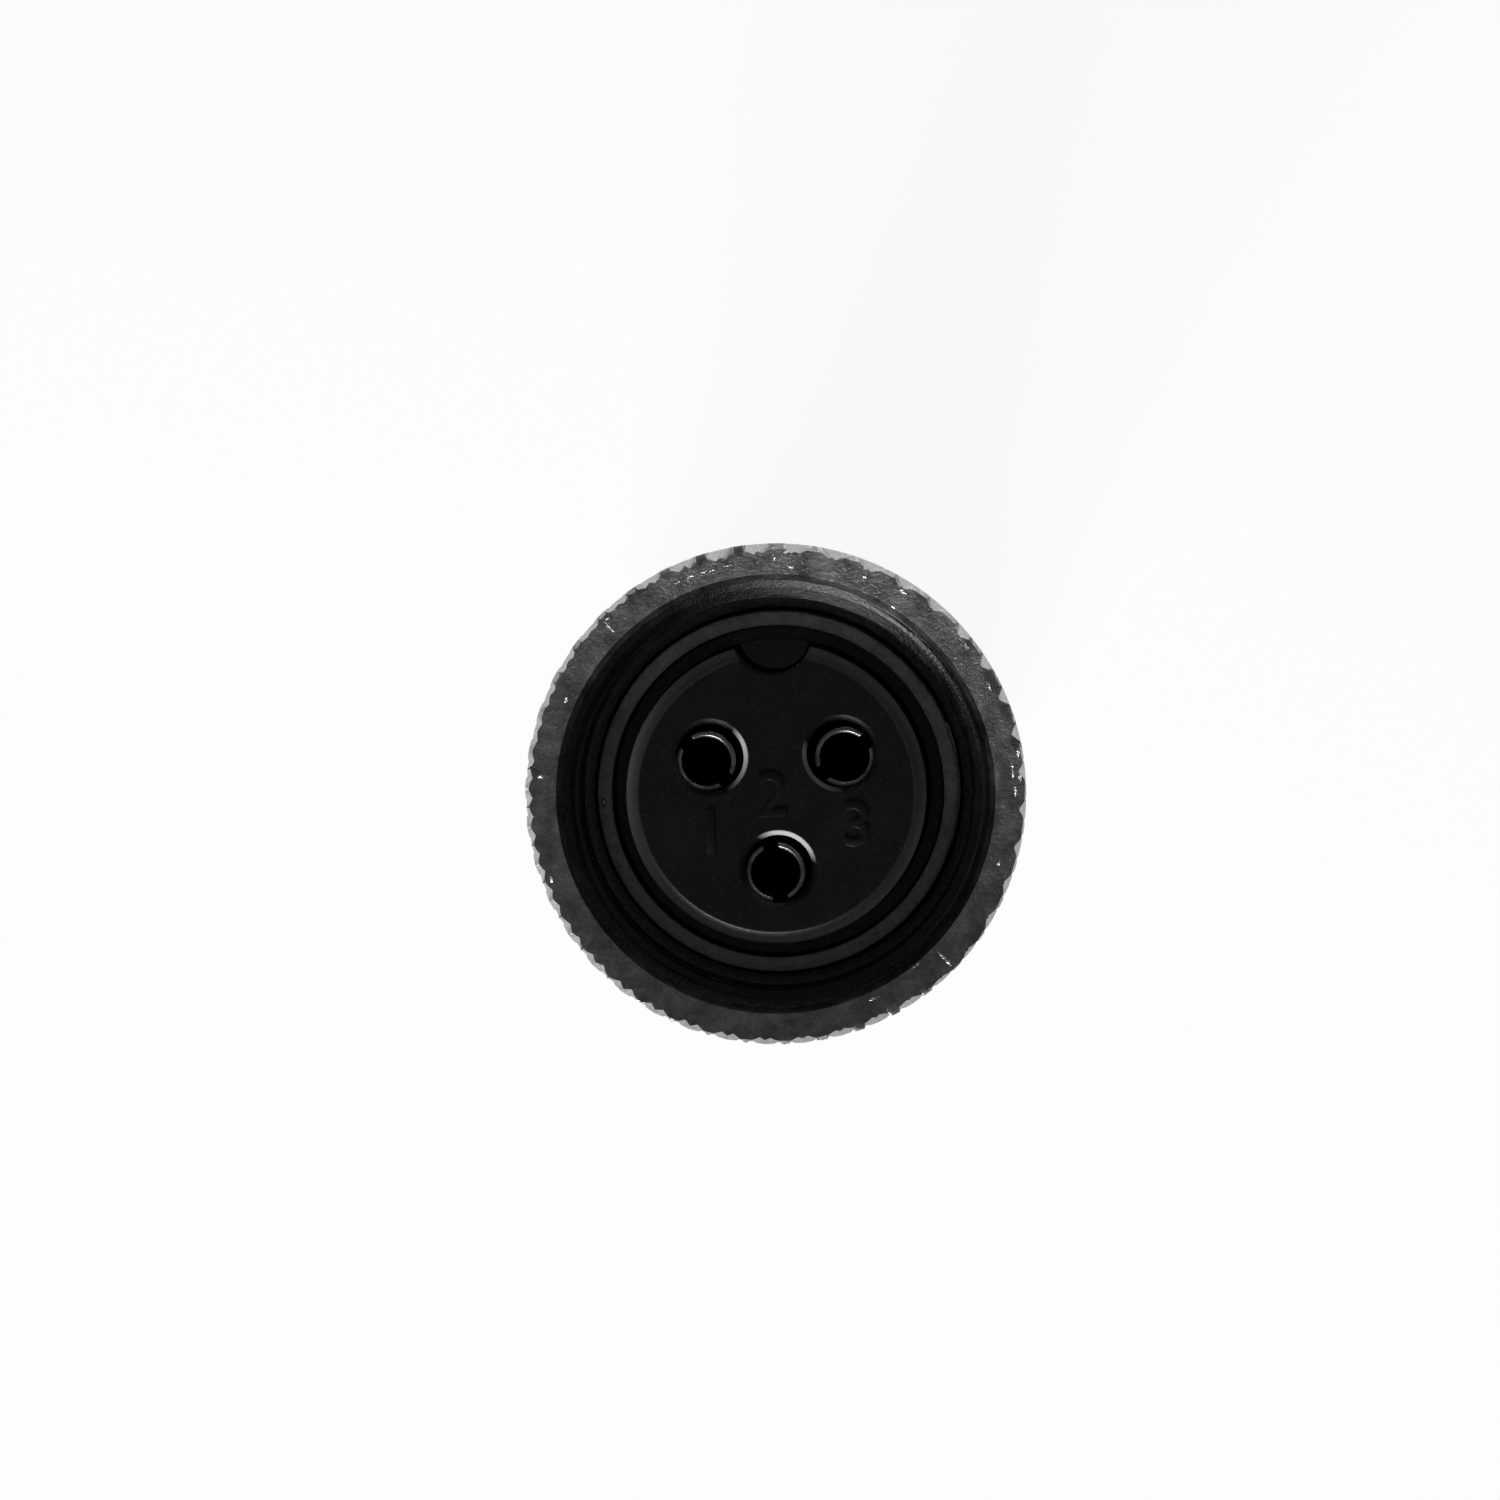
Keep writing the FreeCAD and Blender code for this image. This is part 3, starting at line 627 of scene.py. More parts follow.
def knurl(sizes):
    """Crossed grooves round the nut: one diamond repeated along a spiral, then cut to length."""
    columns = 2 * sizes.teeth + 1
    half_column = TURN / columns
    half_row = sizes.knurl_length / sizes.rows
    tile = knurl_tile(sizes, half_column, half_row, columns)
    drop = 2 * half_row / columns
    bottom = sizes.front - sizes.knurl_length
    deselect_all()
    bpy.ops.object.empty_add(location=(0, 0, -drop), rotation=(0, 0, 2 * half_column))
    step = bpy.context.object
    spiral = tile.modifiers.new("Spiral", "ARRAY")
    spiral.use_relative_offset = False
    spiral.use_object_offset = True
    spiral.offset_object = step
    spiral.count = math.ceil((sizes.knurl_length + 4 * half_row) / drop)
    bpy.context.view_layer.update()
    apply_modifier(tile, spiral)
    bpy.data.objects.remove(step)
    placed(tile, (0, 0, sizes.front + 2 * half_row), (0, 0, sizes.knurl_phase))
    close_up(tile)
    cut(tile, sizes.front - CHAMFER_REACH)
    cut(tile, bottom + CHAMFER_REACH)
    cut(tile, sizes.front, above=True)
    cut(tile, bottom, below=True)
    limit = sizes.radius - sizes.end_chamfer
    for vertex in tile.data.vertices:
        radius = polar_radius(vertex.co)
        if abs(vertex.co.z - sizes.front) < NEAR:
            worn = worn_radius(sizes, vertex.co, radius)
            vertex.co = vertex.co * (worn / radius)
            vertex.co.z = face_height(sizes, worn)
        elif abs(vertex.co.z - bottom) < NEAR:
            squeeze = min(1.0, limit / radius)
            vertex.co.x *= squeeze
            vertex.co.y *= squeeze
    return tile


THREAD_ROWS = 20
# Shares of a pitch, and how much of the flank's shape is straight
THREAD_ROOT = 0.0625
THREAD_FLANK = 0.3125
THREAD_STRAIGHT = 0.7
MOUTH_LAP = 0.08 * MM
NUT_SMOOTHING = 40.0


def thread_radius(sizes, share_of_pitch):
    """Radius of the inner thread's outline within one pitch, its root in the middle."""
    away = (abs(share_of_pitch - 0.5) - THREAD_ROOT) / THREAD_FLANK
    away = min(1.0, max(0.0, away))
    soft = away * away * (3 - 2 * away)
    rise = soft + THREAD_STRAIGHT * (away - soft)
    return sizes.major_radius - rise * (sizes.major_radius - sizes.minor_radius)


def inner_thread(sizes):
    """Helical thread, its mouth and its run-out, from one outline screwed upwards."""
    start = sizes.thread_bottom - 1.5 * sizes.pitch
    piece = first_point("nut_thread", thread_radius(sizes, 0), start)
    for row in range(THREAD_ROWS):
        change = thread_radius(sizes, (row + 1) / THREAD_ROWS) - thread_radius(sizes, row / THREAD_ROWS)
        extrude_point(change, sizes.pitch / THREAD_ROWS)
    stop_editing()
    screw = piece.modifiers.new("Thread", "SCREW")
    screw.axis = "Z"
    screw.angle = TURN
    screw.screw_offset = sizes.pitch
    screw.iterations = math.ceil((sizes.front - start) / sizes.pitch) + 1
    screw.steps = NUT_STEPS
    screw.render_steps = NUT_STEPS
    apply_modifier(piece, screw)
    placed(piece, rotation=(0, 0, sizes.thread_phase))
    close_up(piece)
    mouth_top = face_height(sizes, sizes.mouth_radius)
    cut(piece, mouth_top + MOUTH_LAP, above=True)
    cut(piece, mouth_top)
    cut(piece, mouth_top - sizes.mouth_wall)
    for vertex in piece.data.vertices:
        radius = polar_radius(vertex.co)
        if vertex.co.z > mouth_top + CUT_THRESHOLD:
            outward = sizes.mouth_radius + vertex.co.z - mouth_top
            vertex.co = vertex.co * (outward / radius)
            vertex.co.z = face_height(sizes, outward)
            continue
        mouth = mouth_radius_at(sizes, vertex.co.z)
        relief = sizes.relief_radius - max(0.0, vertex.co.z - sizes.thread_bottom)
        spread = max(radius, mouth, relief) / radius
        vertex.co.x *= spread
        vertex.co.y *= spread
    cut(piece, (sizes.thread_bottom + sizes.floor_top) / 2, below=True)
    return piece


def nut_face(sizes):
    """Dished face of the nut between its mouth and its worn rim."""
    inner = sizes.mouth_radius + 2 * MOUTH_LAP
    outer = sizes.radius - 1.5 * sizes.knurl_depth
    return turned("nut_face", [
        (inner, face_height(sizes, inner), 0),
        ((inner + outer) / 2, face_height(sizes, (inner + outer) / 2), 0),
        (outer, face_height(sizes, outer), 0),
    ], NUT_STEPS, closed=False)


def nut_body(sizes):
    """Lower half of the nut: floor, lip with the wire ring's groove, rear end and plain band."""
    lip = sizes.lip_radius
    groove_top = RING_MIDDLE + sizes.groove_half
    groove_low = RING_MIDDLE - sizes.groove_half
    wall_top = (sizes.thread_bottom + sizes.floor_top) / 2 - 0.03 * MM
    wide, fine = 0.12 * MM, 0.05 * MM
    return turned("nut_rear", [
        (sizes.relief_radius, wall_top, 0),
        (sizes.relief_radius, sizes.floor_top, wide),
        (lip, sizes.floor_bottom, wide),
        (lip, groove_top, fine),
        (sizes.groove_radius, groove_top, fine),
        (sizes.groove_radius, groove_low, fine),
        (lip, groove_low, fine),
        (lip, sizes.rear + sizes.lip_chamfer, 0.06 * MM),
        (lip + sizes.lip_chamfer, sizes.rear, 0.06 * MM),
        (sizes.band_radius - sizes.band_chamfer, sizes.rear, 0.1 * MM),
        (sizes.band_radius, sizes.rear + sizes.band_chamfer, 0.15 * MM),
        (sizes.band_radius, sizes.front - sizes.knurl_length, 0),
    ], NUT_STEPS, closed=False)


def open_edge_between(low_radius, high_radius, low_height, high_height):
    """Test for open edges within a ring-shaped space."""
    def test(edge):
        if not edge.is_boundary:
            return False
        for vertex in edge.verts:
            inside = low_radius <= polar_radius(vertex.co) <= high_radius
            if not inside or not low_height <= vertex.co.z <= high_height:
                return False
        return True
    return test


class PLUG_OT_coupling_nut(bpy.types.Operator):
    """Models the knurled coupling nut with its inner thread"""
    bl_idname = "plug.coupling_nut"
    bl_label = "Coupling nut"

    def execute(self, context):
        sizes = context.scene.plug_nut
        nut = knurl(sizes)
        joined(nut, inner_thread(sizes), nut_face(sizes), nut_body(sizes))
        start_editing(nut)
        mouth = sizes.mouth_radius
        lap_end = mouth + 3 * MOUTH_LAP
        relief = sizes.relief_radius
        face_low = sizes.front - 2 * CHAMFER_REACH
        band_top = sizes.front - sizes.knurl_length
        for ring in (
            (mouth, lap_end, face_low, sizes.front),
            (relief - NEAR, relief + NEAR, sizes.floor_top, sizes.thread_bottom),
            (lap_end, sizes.radius, face_low, sizes.front),
            (sizes.band_radius - NEAR, sizes.radius, band_top - NEAR, band_top + NEAR),
        ):
            select_edges(nut, open_edge_between(*ring))
            if ring[0] < relief < ring[1]:
                bpy.ops.mesh.bridge_edge_loops()
            else:
                bpy.ops.mesh.fill(use_beauty=True)
        stop_editing()
        close_up(nut)
        shade(nut, NUT_SMOOTHING)
        finish_piece(nut, "Nut nickel", "coupling_nut", NUT_BODY)
        return {"FINISHED"}


class PLUG_OT_barrel(bpy.types.Operator):
    """Models the barrel, whose front rim shows inside the nut"""
    bl_idname = "plug.barrel"
    bl_label = "Barrel"

    def execute(self, context):
        sizes = context.scene.plug_barrel
        insert = context.scene.plug_insert
        shell = context.scene.plug_shell
        soft = sizes.rounding
        fine = 0.04 * MM
        groove_foot = sizes.radius - sizes.groove
        ring_groove = sizes.rear_radius + sizes.ring_groove
        barrel = turned("barrel_tube", [
            (sizes.nose_radius, sizes.front, soft),
            (sizes.radius, sizes.front, soft),
            (sizes.radius, RING_MIDDLE + sizes.groove, fine),
            (groove_foot, RING_MIDDLE + sizes.groove, fine),
            (groove_foot, RING_MIDDLE - sizes.groove, fine),
            (sizes.radius, RING_MIDDLE - sizes.groove, fine),
            (sizes.radius, shell.front, fine),
            (sizes.thread_radius, shell.front, fine),
            (sizes.thread_radius, sizes.rear, soft),
            (sizes.rear_radius, sizes.rear, fine),
            (sizes.rear_radius, INSERT_RING_LOW.z, fine),
            (ring_groove, INSERT_RING_LOW.z, fine),
            (ring_groove, INSERT_RING_HIGH.z, fine),
            (sizes.rear_radius, INSERT_RING_HIGH.z, fine),
            (sizes.rear_radius, insert.flange_top, fine),
            (sizes.shoulder_radius, insert.flange_top, fine),
            (sizes.shoulder_radius, sizes.shoulder_top, fine),
            (sizes.nose_radius, sizes.shoulder_top, fine),
        ], BODY_STEPS)
        key = rod("key", sizes.key_radius, insert.flange_top + fine, sizes.shoulder_top - fine, SMALL_STEPS)
        placed(key, (0, insert.keyway_offset, 0))
        inside = rod("inside", sizes.shoulder_radius + 0.05 * MM, insert.rear, sizes.front)
        combine(key, inside, "INTERSECT")
        combine(barrel, key, "UNION")
        shade(barrel)
        finish_piece(barrel, "Barrel nickel", "barrel")
        return {"FINISHED"}


CAVITY_TURNS = (300.0, 180.0, 60.0)
FIGURE_PLACES = (
    ("1", -2.54 * MM, -1.33 * MM),
    ("2", -0.15 * MM, 0.0),
    ("3", 3.03 * MM, -1.22 * MM),
)
FIGURE_SHARE = 0.72
FIGURE_BEVEL = 0.04 * MM


def cavity_centres(sizes):
    """Centres of the three contact cavities."""
    return [clock_point(math.radians(turn), sizes.cavity_circle) for turn in CAVITY_TURNS]


def figure(sizes, text, x, y):
    """Raised pole figure, its foot sunk in the face."""
    deselect_all()
    bpy.ops.object.text_add(location=(0, 0, 0))
    piece = bpy.context.object
    piece.name = "figure_" + text
    piece.data.body = text
    piece.data.align_x = "CENTER"
    piece.data.size = sizes.figure_height / FIGURE_SHARE
    piece.data.extrude = sizes.figure_relief
    piece.data.bevel_depth = FIGURE_BEVEL
    piece.data.bevel_resolution = 1
    piece.data.resolution_u = 5
    bpy.ops.object.convert(target="MESH")
    piece = bpy.context.object
    placed(piece, (x, y - sizes.figure_height / 2, sizes.front - FIGURE_BEVEL))
    close_up(piece)
    return piece


class PLUG_OT_contact_insert(bpy.types.Operator):
    """Models the moulded insert with keyway, cavities and pole figures"""
    bl_idname = "plug.contact_insert"
    bl_label = "Contact insert"

    def execute(self, context):
        sizes = context.scene.plug_insert
        fine = 0.06 * MM
        insert = turned("moulded_insert", [
            (0, sizes.rear, 0),
            (sizes.flange_radius, sizes.rear, fine),
            (sizes.flange_radius, sizes.flange_top, fine),
            (sizes.neck_radius, sizes.flange_top, fine),
            (sizes.neck_radius, sizes.nose_bottom, fine),
            (sizes.nose_radius, sizes.nose_bottom, fine),
            (sizes.nose_radius, sizes.front - sizes.bevel, sizes.bevel_rounding),
            (sizes.nose_radius - sizes.bevel, sizes.front, sizes.bevel_rounding),
            (0, sizes.front, 0),
        ], BODY_STEPS, closed=False)
        keyway = turned("keyway", [
            (0, sizes.flange_top, 0),
            (sizes.keyway_radius, sizes.flange_top, 0),
            (sizes.keyway_radius, sizes.front - sizes.keyway_chamfer, 0.04 * MM),
            (sizes.keyway_radius + sizes.keyway_chamfer, sizes.front, 0.04 * MM),
            (sizes.keyway_radius + 2 * sizes.keyway_chamfer, sizes.front + MM, 0),
            (0, sizes.front + MM, 0),
        ], CAVITY_STEPS, closed=False)
        placed(keyway, (0, sizes.keyway_offset, 0))
        combine(insert, keyway, "DIFFERENCE")
        for x, y in cavity_centres(sizes):
            cavity = turned("cavity", [
                (0, sizes.rear - MM, 0),
                (sizes.counterbore, sizes.rear - MM, 0),
                (sizes.counterbore, sizes.counterbore_top, 0),
                (sizes.cavity_radius, sizes.counterbore_top, 0),
                (sizes.cavity_radius, sizes.front - sizes.lip_depth, 0),
                (sizes.lip_radius, sizes.front - sizes.lip_depth, 0),
                (sizes.lip_radius, sizes.front - sizes.mouth_depth, 0.06 * MM),
                (sizes.mouth_radius, sizes.front, 0.05 * MM),
                (sizes.mouth_radius + sizes.mouth_depth, sizes.front + MM, 0),
                (0, sizes.front + MM, 0),
            ], CAVITY_STEPS, closed=False)
            placed(cavity, (x, y, 0))
            combine(insert, cavity, "DIFFERENCE")
        for text, x, y in FIGURE_PLACES:
            combine(insert, figure(sizes, text, x, y), "UNION")
        shade(insert)
        finish_piece(insert, "Black moulding", "contact_insert")
        return {"FINISHED"}


def contact_blank(sizes):
    """Turned contact before its slot is cut."""
    fine = FINE_EDGE
    collar_top = sizes.collar_bottom + sizes.collar_height
    bottom = sizes.tip - sizes.bore_depth
    return turned("contact", [
        (0, sizes.tail + sizes.cup_depth, 0),
        (sizes.cup_radius, sizes.tail + sizes.cup_depth, 0.1 * MM),
        (sizes.cup_radius, sizes.tail, fine),
        (sizes.tail_radius, sizes.tail, fine),
        (sizes.tail_radius, sizes.collar_bottom, fine),
        (sizes.collar_radius, sizes.collar_bottom, 0.08 * MM),
        (sizes.collar_radius, collar_top, 0.08 * MM),
        (sizes.radius, collar_top, fine),
        (sizes.radius, sizes.tip, sizes.tip_rounding),
        (sizes.bore + sizes.lead_in, sizes.tip, fine),
        (sizes.bore, sizes.tip - sizes.lead_in, 0.05 * MM),
        (sizes.bore, bottom, 0.05 * MM),
        (0, bottom - sizes.bore, 0),
    ], CAVITY_STEPS, closed=False)


class PLUG_OT_socket_contacts(bpy.types.Operator):
    """Models one slotted socket contact and sets a copy in each cavity"""
    bl_idname = "plug.socket_contacts"
    bl_label = "Socket contacts"

    def execute(self, context):
        sizes = context.scene.plug_contacts
        reach = 2 * sizes.collar_radius
        half_slot = sizes.slot_width / 2
        socket = contact_blank(sizes)
        foot = sizes.tip - sizes.slot_depth
        slot = block("slot", (-half_slot, -reach, foot), (half_slot, reach, sizes.tip + MM))
        combine(socket, slot, "DIFFERENCE")
        opening_top = sizes.tail + sizes.cup_opening
        for pole, turn in enumerate((sizes.slot_1, sizes.slot_2, sizes.slot_3), 1):
            node = "socket_contact_%d" % pole
            low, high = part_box(node)
            centre = (low + high) / 2
            contact = copy_of(socket, "contact_%d" % pole)
            placed(contact, rotation=(0, 0, -turn))
            opening = block("opening", (0, -reach, sizes.tail - MM), (reach, reach, opening_top))
            placed(opening, rotation=(0, 0, math.atan2(centre.y, centre.x)))
            combine(contact, opening, "DIFFERENCE")
            placed(contact, (centre.x, centre.y, 0))
            soften(contact, FINE_EDGE)
            shade(contact)
            finish_piece(contact, "Contact silver", node)
        bpy.data.objects.remove(socket)
        return {"FINISHED"}


EAR_BORE = 4 * MM
CLAMP_ROUNDING = (3, 40.0)
# Rotation that lays a piece's Z axis along the plug's Y axis
UP_TO_KEYWAY = (-math.pi / 2, 0, 0)


def ear_plate(name, sizes, low_y, high_y):
    """Plate across the clamp with its outer upper corners rounded."""
    plate = block(name, (-sizes.ear_reach, low_y, 0), (sizes.ear_reach, high_y, sizes.ear_top))
    start_editing(plate)

    def upper_corner(edge):
        first, second = (vertex.co for vertex in edge.verts)
        across = abs(first.y - second.y) > NEAR
        return across and min(first.z, second.z) > sizes.ear_top / 2

    select_edges(plate, upper_corner)
    bpy.ops.mesh.bevel(offset=sizes.ear_corner, segments=8, affect="EDGES")
    stop_editing()
    return soften(plate, EDGE, *CLAMP_ROUNDING)


def clamp_blank(name, sizes, radius, top, side, ear_thickness):
    """Rod and ear plate of one half of the clamp, which reach past the parting plane."""
    blank = soften(rod(name, radius, 0, top, BODY_STEPS), EDGE, *CLAMP_ROUNDING)
    ends = sorted((side * (sizes.half_gap + ear_thickness), -side * MM))
    return combine(blank, ear_plate("ears", sizes, *ends), "UNION")


def parted(piece, sizes, side):
    """Cuts away what lies beyond the clamp's parting plane."""
    start_editing(piece)
    bpy.ops.mesh.bisect(
        plane_co=(0, side * sizes.half_gap, 0), plane_no=(0, side, 0), use_fill=True, clear_inner=True,
        threshold=CUT_THRESHOLD,
    )
    bpy.ops.mesh.select_all(action="SELECT")
    bpy.ops.mesh.remove_doubles(threshold=MERGE_DISTANCE)
    bpy.ops.mesh.fill_holes(sides=4)
    stop_editing()
    close_up(piece)
    return piece


def screw_holes(piece, radius):
    """Cuts both screw holes of one half of the clamp."""
    for side in (-1, 1):
        hole = rod("hole", radius, -EAR_BORE, EAR_BORE, SMALL_STEPS)
        combine(piece, placed(hole, (side * SCREW_X, 0, SCREW_Z), UP_TO_KEYWAY), "DIFFERENCE")


def flare(radius, height, side):
    """Cone that breaks the edge of a bore, with its wide end above or below a face."""
    deselect_all()
    reach = 0.3 * MM
    wide = radius + EDGE + reach
    narrow = radius + EDGE - reach
    bpy.ops.mesh.primitive_cone_add(
        vertices=BODY_STEPS, radius1=narrow if side > 0 else wide, radius2=wide if side > 0 else narrow,
        depth=2 * reach, location=(0, 0, height), calc_uvs=False,
    )
    return added("flare")


class PLUG_OT_backshell(bpy.types.Operator):
    """Models the rear shell with the fixed half of the cable clamp"""
    bl_idname = "plug.backshell"
    bl_label = "Backshell"

    def execute(self, context):
        sizes = context.scene.plug_shell
        fine = 0.06 * MM
        slope = (sizes.cavity_radius - sizes.bore_radius) / (sizes.cavity_bottom - sizes.bore_top)
        spare = 0.4 * MM
        shell = turned("rear_housing", [
            (sizes.thread_radius, sizes.front, 0.15 * MM),
            (sizes.collar_radius - 0.3 * MM, sizes.front, 0.12 * MM),
            (sizes.collar_radius, sizes.front - 0.3 * MM, 0.12 * MM),
            (sizes.collar_radius, sizes.collar_bottom, 0.15 * MM),
            (sizes.body_radius, sizes.body_top, 0.3 * MM),
            (sizes.body_radius, sizes.taper_top, 0.6 * MM),
            (sizes.tail_radius, sizes.taper_bottom, 0.3 * MM),
            (sizes.tail_radius, sizes.tail_bottom, 0.12 * MM),
            (sizes.bore_radius - spare, sizes.tail_bottom, 0),
            (sizes.bore_radius - spare, sizes.bore_top - spare / slope, 0),
            (sizes.cavity_radius, sizes.cavity_bottom, fine),
            (sizes.cavity_radius, sizes.thread_bottom, fine),
            (sizes.thread_radius, sizes.thread_bottom, fine),
        ], BODY_STEPS)
        saddle_top = sizes.tail_bottom + 0.5 * MM
        saddle = clamp_blank("saddle", sizes, sizes.saddle_radius, saddle_top, -1, sizes.saddle_ear)
        combine(shell, parted(saddle, sizes, -1), "UNION")
        bore = rod("bore", sizes.bore_radius, -MM, sizes.bore_top + 0.05 * MM, BODY_STEPS)
        combine(shell, bore, "DIFFERENCE")
        combine(shell, flare(sizes.bore_radius, 0, -1), "DIFFERENCE")
        screw_holes(shell, sizes.screw_hole)
        sink = 1.4 * MM
        lock = turned("lock hole", [
            (0, -sizes.lock_edge - sink, 0),
            (sizes.lock_hole + sink, -sizes.lock_edge - sink, 0),
            (sizes.lock_hole, -sizes.lock_edge, 0),
            (sizes.lock_hole, -sizes.lock_foot, 0),
            (0, -sizes.lock_foot, 0),
        ], SMALL_STEPS, closed=False)
        combine(shell, placed(lock, (0, 0, LOCK_MIDDLE), UP_TO_KEYWAY), "DIFFERENCE")
        close_up(shell)
        shade(shell)
        finish_piece(shell, "Housing nickel", "backshell")
        return {"FINISHED"}


def clamp_screw_blank(sizes, seat, end):
    """Pan-head screw along Z with ridges of its thread, its head's seat at the given height."""
    top = seat + sizes.head_height
    root, crest = sizes.shank_radius - sizes.thread_depth, sizes.shank_radius
    corners = [(0, end, 0), (root, end, 0.05 * MM)]
    height = end
    while height + sizes.pitch < seat - sizes.pitch:
        for radius, rise in ((root, 0.25), (crest, 0.55), (crest, 0.7), (root, 1.0)):
            corners.append((radius, height + rise * sizes.pitch, 0))
        height += sizes.pitch
    corners += [
        (root, seat, 0),
        (sizes.head_radius, seat, 0.08 * MM),
        (sizes.head_radius, top, sizes.head_round),
        (0, top, 0),
    ]
    blank = turned("screw", corners, SCREW_STEPS, closed=False)
    half, reach = sizes.slot_width / 2, 2 * sizes.head_radius
    slot = block("slot", (-reach, -half, top - sizes.slot_depth), (reach, half, top + MM))
    return combine(blank, slot, "DIFFERENCE")


def split_washer(sizes, low, high):
    """Split spring washer: its section is spun most of the way round and its ends are closed."""
    outer = (WASHER_HIGH.x - WASHER_LOW.x) / 2
    washer = turned("washer", [
        (sizes.washer_hole, low, 0), (outer, low, 0), (outer, high, 0), (sizes.washer_hole, high, 0),
    ], SMALL_STEPS, turn=TURN - sizes.washer_gap)
    start_editing(washer)
    bpy.ops.mesh.fill_holes(sides=0)
    stop_editing()
    close_up(washer)
    return placed(washer, rotation=(0, 0, math.pi / 2 + sizes.washer_gap / 2))


class PLUG_OT_cable_clamp(bpy.types.Operator):
    """Models the loose clamp strap with its screws and spring washers"""
    bl_idname = "plug.cable_clamp"
    bl_label = "Cable clamp"

    def execute(self, context):
        sizes = context.scene.plug_shell
        screws = context.scene.plug_screws
        strap = clamp_blank("loose_strap", sizes, sizes.strap_radius, sizes.ear_top, 1, sizes.strap_ear)
        combine(strap, rod("bore", sizes.bore_radius, -MM, sizes.ear_top + MM, BODY_STEPS), "DIFFERENCE")
        combine(strap, flare(sizes.bore_radius, 0, -1), "DIFFERENCE")
        combine(strap, flare(sizes.bore_radius, sizes.ear_top, 1), "DIFFERENCE")
        screw_holes(strap, sizes.strap_hole)
        parted(strap, sizes, 1)
        shade(strap)
        finish_piece(strap, "Housing nickel", "clamp_strap")
        seat = SCREW_HIGH.y - screws.head_height
        blank = clamp_screw_blank(screws, seat, SCREW_LOW.y)
        ring = split_washer(screws, WASHER_LOW.y, WASHER_HIGH.y)
        for side, name, turn in ((1, "right", 24.0), (-1, "left", -37.0)):
            place = (side * SCREW_X, 0, SCREW_Z)
            screw = copy_of(blank, "pan_screw_" + name)
            placed(screw, rotation=(0, 0, math.radians(turn)))
            placed(screw, place, UP_TO_KEYWAY)
            soften(screw, FINE_EDGE)
            clear_slivers(screw)
            shade(screw)
            finish_piece(screw, "Screw steel", "clamp_screw_" + name)
            washer = copy_of(ring, "spring_washer_" + name)
            placed(washer, place, UP_TO_KEYWAY)
            soften(washer, 0.05 * MM)
            shade(washer)
            finish_piece(washer, "Spring steel", "clamp_washer_" + name)
        bpy.data.objects.remove(blank)
        bpy.data.objects.remove(ring)
        return {"FINISHED"}


class PLUG_OT_locking_screw(bpy.types.Operator):
    """Models the slotted grub screw in the backshell's collar"""
    bl_idname = "plug.locking_screw"
    bl_label = "Locking screw"

    def execute(self, context):
        sizes = context.scene.plug_screws
        radius = (LOCK_HIGH.x - LOCK_LOW.x) / 2
        outer = -LOCK_LOW.y
        inner = -LOCK_HIGH.y
        screw = turned("grub_screw", [
            (0, inner, 0),
            (radius, inner, 0.15 * MM),
            (radius, outer, 0.15 * MM),
            (0, outer, 0),
        ], SMALL_STEPS, closed=False)
        half, reach = sizes.lock_slot_width / 2, 2 * radius
        slot = block("slot", (-reach, -half, outer - sizes.lock_slot_depth), (reach, half, outer + MM))
        combine(screw, slot, "DIFFERENCE")
        placed(screw, (0, 0, LOCK_MIDDLE), (math.pi / 2, math.radians(20.0), 0))
        soften(screw, FINE_EDGE)
        shade(screw)
        finish_piece(screw, "Screw steel", "locking_screw")
        return {"FINISHED"}


# In the finishes, heights and radii are places on the plug in mm, and the rest are shares or sizes
BLACK = (0.0, 0.0, 0.0, 1.0)
WHITE = (1.0, 1.0, 1.0, 1.0)


def rgba(colour, factor=1.0):
    """Colour with its alpha, lighter or darker by a factor."""
    return tuple(min(1.0, factor * part) for part in colour) + (1.0,)


class Nodes:
    """Short calls that add nodes to one tree and link them."""

    def __init__(self, owner):
        owner.use_nodes = True
        self.tree = owner.node_tree

    def add(self, kind, inputs=None, **settings):
        """One node, its settings and its inputs, each a value or another node's output."""
        node = self.tree.nodes.new("ShaderNode" + kind)
        for key, value in settings.items():
            setattr(node, key, value)
        for key, value in (inputs or {}).items():
            self.put(node.inputs[key], value)
        return node

    def put(self, socket, value):
        """Links or sets one input."""
        if isinstance(value, bpy.types.NodeSocket):
            self.tree.links.new(value, socket)
        else:
            socket.default_value = value

    def math(self, operation, first, second=0.0, third=0.0):
        """Result of one calculation."""
        return self.add("Math", {0: first, 1: second, 2: third}, operation=operation).outputs[0]

    def times(self, first, second, more=0.0):
        """Product of two values, with more added to it."""
        return self.math("MULTIPLY_ADD", first, second, more)

    def larger(self, first, second):
        """The larger of two values."""
        return self.math("MAXIMUM", first, second)

    def vector(self, operation, first, second=(0, 0, 0), output=0):
        """Result of one calculation with vectors."""
        return self.add("VectorMath", {0: first, 1: second}, operation=operation).outputs[output]

    def level(self, value, low, high, out_low=0.0, out_high=1.0, **settings):
        """A value mapped from one range to another and held within it."""
        return self.add("MapRange", {
            "Value": value, "From Min": low, "From Max": high, "To Min": out_low, "To Max": out_high,
        }, **settings).outputs[0]


